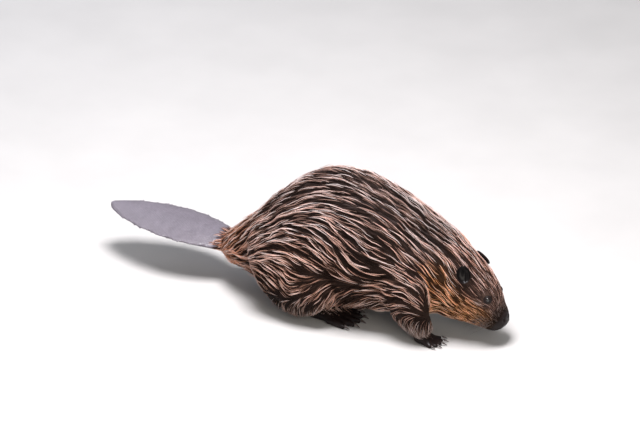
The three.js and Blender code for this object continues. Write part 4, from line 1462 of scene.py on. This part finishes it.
def own_colour(tree, colour):
    """One of the animal's colours, for its material to vary."""
    colour_node = node(tree, "ShaderNodeRGB")
    colour_node.outputs[0].default_value = (*colour, 1)
    return colour_node.outputs[0]


def scaled_colour(tree, colour_socket, factor):
    """A colour made lighter or darker by a factor."""
    both = {0: colour_socket, 1: factor}
    return node(tree, "ShaderNodeVectorMath", both, operation="MULTIPLY").outputs[0]


def bump(tree, height, depth, strength=1.0):
    return node(tree, "ShaderNodeBump",
                {"Height": height, "Distance": depth, "Strength": strength}).outputs["Normal"]


def coat_material(name, wetness, roughness):
    """Guard hair and underfur: keratin under a film of water. The long hairs glint along their
    ridges, with gloss and with glints painted into their colour, and the hollows between them are dark
    with shade painted into the underfur's colour. Each lock is a bundle of hairs about 0.1 mm thick,
    drawn as eight ridges across it."""
    material, tree, surface = new_material(name)
    own = node(tree, "ShaderNodeAttribute", attribute_name="hair_colour").outputs["Color"]
    strand = node(tree, "ShaderNodeUVMap", uv_map="strand").outputs["UV"]
    hairs = noise(tree, stretched(tree, strand, (8, 1.2, 1)), 1.0, 2.0, 0.6)
    drops = noise(tree, object_place(tree, (1, 1, 1)), 60.0, 3.0)
    shade = ranged(tree, hairs, 0.3, 0.7, 0.72, 1.28)
    film = ranged(tree, own, 0.01, 0.22, 0.0, wetness)
    set_inputs(tree, surface, {
        "Base Color": scaled_colour(tree, own, shade),
        "Roughness": ranged(tree, drops, 0.3, 0.7, 0.45, 0.65),
        "IOR": 1.55,
        "Specular IOR Level": 0.05,
        "Coat Weight": film,
        "Coat Roughness": roughness,
        "Normal": bump(tree, hairs, 0.0004, 0.7),
    })
    return material


def hide_material():
    """Hide: wet underfur below the coat, painted dark as the shade there, and pebbled leather where it
    is bare, with creases about 1.5 mm apart and a dull grease shine."""
    material, tree, surface = new_material("hide_and_underfur")
    own = node(tree, "ShaderNodeAttribute", attribute_name="hide_colour").outputs["Color"]
    bare = node(tree, "ShaderNodeAttribute", attribute_name="bare").outputs["Fac"]
    at = object_place(tree, (1, 1, 1))
    pebbles = node(tree, "ShaderNodeTexVoronoi", {"Vector": at, "Scale": 620.0}).outputs["Distance"]
    fuzz = noise(tree, stretched(tree, at, (0.3, 1, 1)), 900.0, 3.0, 0.6)
    blotches = noise(tree, at, 45.0, 4.0)
    height = node(tree, "ShaderNodeMix", {0: bare, 2: fuzz, 3: pebbles}, data_type="FLOAT").outputs[0]
    set_inputs(tree, surface, {
        "Base Color": scaled_colour(tree, own, ranged(tree, blotches, 0.3, 0.7, 0.8, 1.25)),
        "Roughness": ranged(tree, blotches, 0.3, 0.7, 0.4, 0.6),
        "IOR": 1.45,
        "Specular IOR Level": 0.06,
        "Coat Weight": ranged(tree, bare, 0.0, 1.0, 0.0, 0.22),
        "Coat Roughness": 0.22,
        "Normal": bump(tree, height, 0.0006, 0.6),
    })
    return material


def scale_material():
    """Horny tail scales: slate keratin, worn smooth and damp, with grey scuffs across the scales."""
    material, tree, surface = new_material("tail_keratin")
    own = node(tree, "ShaderNodeAttribute", attribute_name="scale_colour").outputs["Color"]
    at = object_place(tree, (1, 1, 1))
    scuffs = noise(tree, stretched(tree, at, (1, 0.35, 1)), 70.0, 5.0, 0.6)
    grain = noise(tree, at, 900.0, 2.0)
    set_inputs(tree, surface, {
        "Base Color": scaled_colour(tree, own, ranged(tree, scuffs, 0.3, 0.7, 0.86, 1.16)),
        "Roughness": ranged(tree, scuffs, 0.3, 0.7, 0.34, 0.5),
        "IOR": 1.54,
        "Normal": bump(tree, grain, 0.0003, 0.4),
    })
    return material


def claw_material(colours):
    """Claw horn: dark brown keratin with fine lengthwise grain."""
    material, tree, surface = new_material("claw_horn")
    at = object_place(tree, (1, 6, 6))
    grain = noise(tree, at, 260.0, 3.0)
    own = own_colour(tree, colours.claw)
    set_inputs(tree, surface, {
        "Base Color": scaled_colour(tree, own, ranged(tree, grain, 0.3, 0.7, 0.7, 1.5)),
        "Roughness": ranged(tree, grain, 0.3, 0.7, 0.3, 0.45),
        "IOR": 1.54,
        "Normal": bump(tree, grain, 0.0002, 0.5),
    })
    return material


def eye_material(colours):
    """The eye: a wet clear cornea over a dark brown iris with a black pupil, so it reads as one
    near black bead with a sharp highlight."""
    material, tree, surface = new_material("wet_eye")
    turn = node(tree, "ShaderNodeAttribute", attribute_name="from_pupil").outputs["Fac"]
    at = object_place(tree, (1, 1, 1))
    fibres = ranged(tree, noise(tree, at, 900.0, 2.0), 0.3, 0.7, 0.7, 1.5)
    iris = ranged(tree, turn, 0.3, 0.42, 0.1, 1.0)
    own = own_colour(tree, colours.eye)
    set_inputs(tree, surface, {
        "Base Color": scaled_colour(tree, scaled_colour(tree, own, fibres), iris),
        "Roughness": 0.08,
        "IOR": 1.38,
        "Coat Weight": 1.0,
        "Coat Roughness": 0.02,
    })
    return material


def whisker_material(colours):
    """Whiskers: stiff dark hair, polished, paler and darker along a fine grain."""
    material, tree, surface = new_material("whisker_hair")
    grain = noise(tree, object_place(tree, (1, 1, 1)), 300.0, 2.0)
    own = own_colour(tree, colours.whisker)
    set_inputs(tree, surface, {
        "Base Color": scaled_colour(tree, own, ranged(tree, grain, 0.3, 0.7, 0.6, 1.5)),
        "Roughness": 0.35,
        "IOR": 1.55,
    })
    return material


def floor_material(colours):
    """A floor of pale matt board, with a trace of unevenness."""
    material, tree, surface = new_material("pale_board")
    mottle = noise(tree, object_place(tree, (1, 1, 1)), 6.0, 3.0)
    own = own_colour(tree, colours.floor)
    set_inputs(tree, surface, {
        "Base Color": scaled_colour(tree, own, ranged(tree, mottle, 0.3, 0.7, 0.97, 1.03)),
        "Roughness": 0.7,
    })
    return material


# ---- Stage ----------------------------------------------------------------------------------

# What the camera looks at, the way round and above it that the camera stands, and how far off.
AIM = Vector((0.0239, 0.0127, 0.190))
AZIMUTH, ELEVATION, DISTANCE = math.radians(28), math.radians(26.5), 15.0
LENS, SENSOR = 410.0, 36.0
LIGHTS = (
    # name, place, size, watts, tint: an overcast sky overhead, a window in front, a fill behind
    ("overhead", (0.1, -0.3, 2.4), 1.0, 118, "#f8f6fa"),
    ("window", (2.0, -1.8, 1.2), 1.4, 26, "#fff6ea"),
    ("fill", (-1.9, 1.4, 1.5), 1.6, 16, "#eef2ff"),
)


LAMP_AIM = Vector((0, 0, 0.12))
ROOM_COLOUR, ROOM_LIGHT = "#e9ecf2", 0.38
FLOOR_SIZE, VIEW_ENDS = 40, 100     # metres


def aimed(ob, target):
    ob.rotation_euler = (target - ob.location).to_track_quat("-Z", "Y").to_euler()


class BEAVER_OT_stage(bpy.types.Operator):
    """Lays the pale floor and sets up the soft studio lights and the camera"""
    bl_idname = "beaver.stage"
    bl_label = "Stage"

    def execute(self, context):
        deselect()
        bpy.ops.mesh.primitive_plane_add(size=FLOOR_SIZE, location=(0, 0, 0))
        floor = bpy.context.object
        floor.name = "floor"
        floor.data.materials.append(floor_material(context.scene.beaver_colours))
        for name, place, size, watts, tint in LIGHTS:
            bpy.ops.object.light_add(type="AREA", location=place)
            lamp = bpy.context.object
            lamp.name = name
            lamp.data.size, lamp.data.energy, lamp.data.color = size, watts, linear(tint)
            aimed(lamp, LAMP_AIM)
        world = bpy.data.worlds.new("soft_room")
        world.use_nodes = True
        background = {"Color": (*linear(ROOM_COLOUR), 1), "Strength": ROOM_LIGHT}
        set_inputs(world.node_tree, world.node_tree.nodes["Background"], background)
        context.scene.world = world
        back = Vector((math.sin(AZIMUTH) * math.cos(ELEVATION),
                       -math.cos(AZIMUTH) * math.cos(ELEVATION), math.sin(ELEVATION)))
        bpy.ops.object.camera_add(location=AIM + back * DISTANCE)
        camera = bpy.context.object
        camera.data.lens, camera.data.sensor_width = LENS, SENSOR
        camera.data.sensor_fit = "HORIZONTAL"
        camera.data.clip_end = VIEW_ENDS
        aimed(camera, AIM)
        context.scene.camera = camera
        context.scene.view_settings.view_transform = "Standard"
        return {"FINISHED"}


# ---- Sidebar, registration and the run ------------------------------------------------------

OPERATORS = (
    BEAVER_OT_stage, BEAVER_OT_skin, BEAVER_OT_coat, BEAVER_OT_eyes, BEAVER_OT_claws,
    BEAVER_OT_tail_scales, BEAVER_OT_whiskers,
)


class BEAVER_PT_panel(bpy.types.Panel):
    """Lists the steps that make the beaver, and its sizes and colours"""
    bl_idname = "BEAVER_PT_panel"
    bl_label = "Beaver"
    bl_space_type = "VIEW_3D"
    bl_region_type = "UI"
    bl_category = "Beaver"

    def draw(self, context):
        for operator in OPERATORS:
            self.layout.operator(operator.bl_idname)
        for group in (context.scene.beaver_sizes, context.scene.beaver_colours):
            for name in type(group).__annotations__:
                self.layout.prop(group, name)


CLASSES = (BeaverSizes, BeaverColours, *OPERATORS, BEAVER_PT_panel)


def register():
    for cls in CLASSES:
        bpy.utils.register_class(cls)
    bpy.types.Scene.beaver_sizes = PointerProperty(type=BeaverSizes)
    bpy.types.Scene.beaver_colours = PointerProperty(type=BeaverColours)


def unregister():
    del bpy.types.Scene.beaver_sizes, bpy.types.Scene.beaver_colours
    for cls in reversed(CLASSES):
        bpy.utils.unregister_class(cls)


def main():
    register()
    bpy.ops.beaver.stage()
    bpy.ops.beaver.skin()
    bpy.ops.beaver.coat()
    bpy.ops.beaver.eyes()
    bpy.ops.beaver.claws()
    bpy.ops.beaver.tail_scales()
    bpy.ops.beaver.whiskers()


if __name__ == "__main__":
    main()
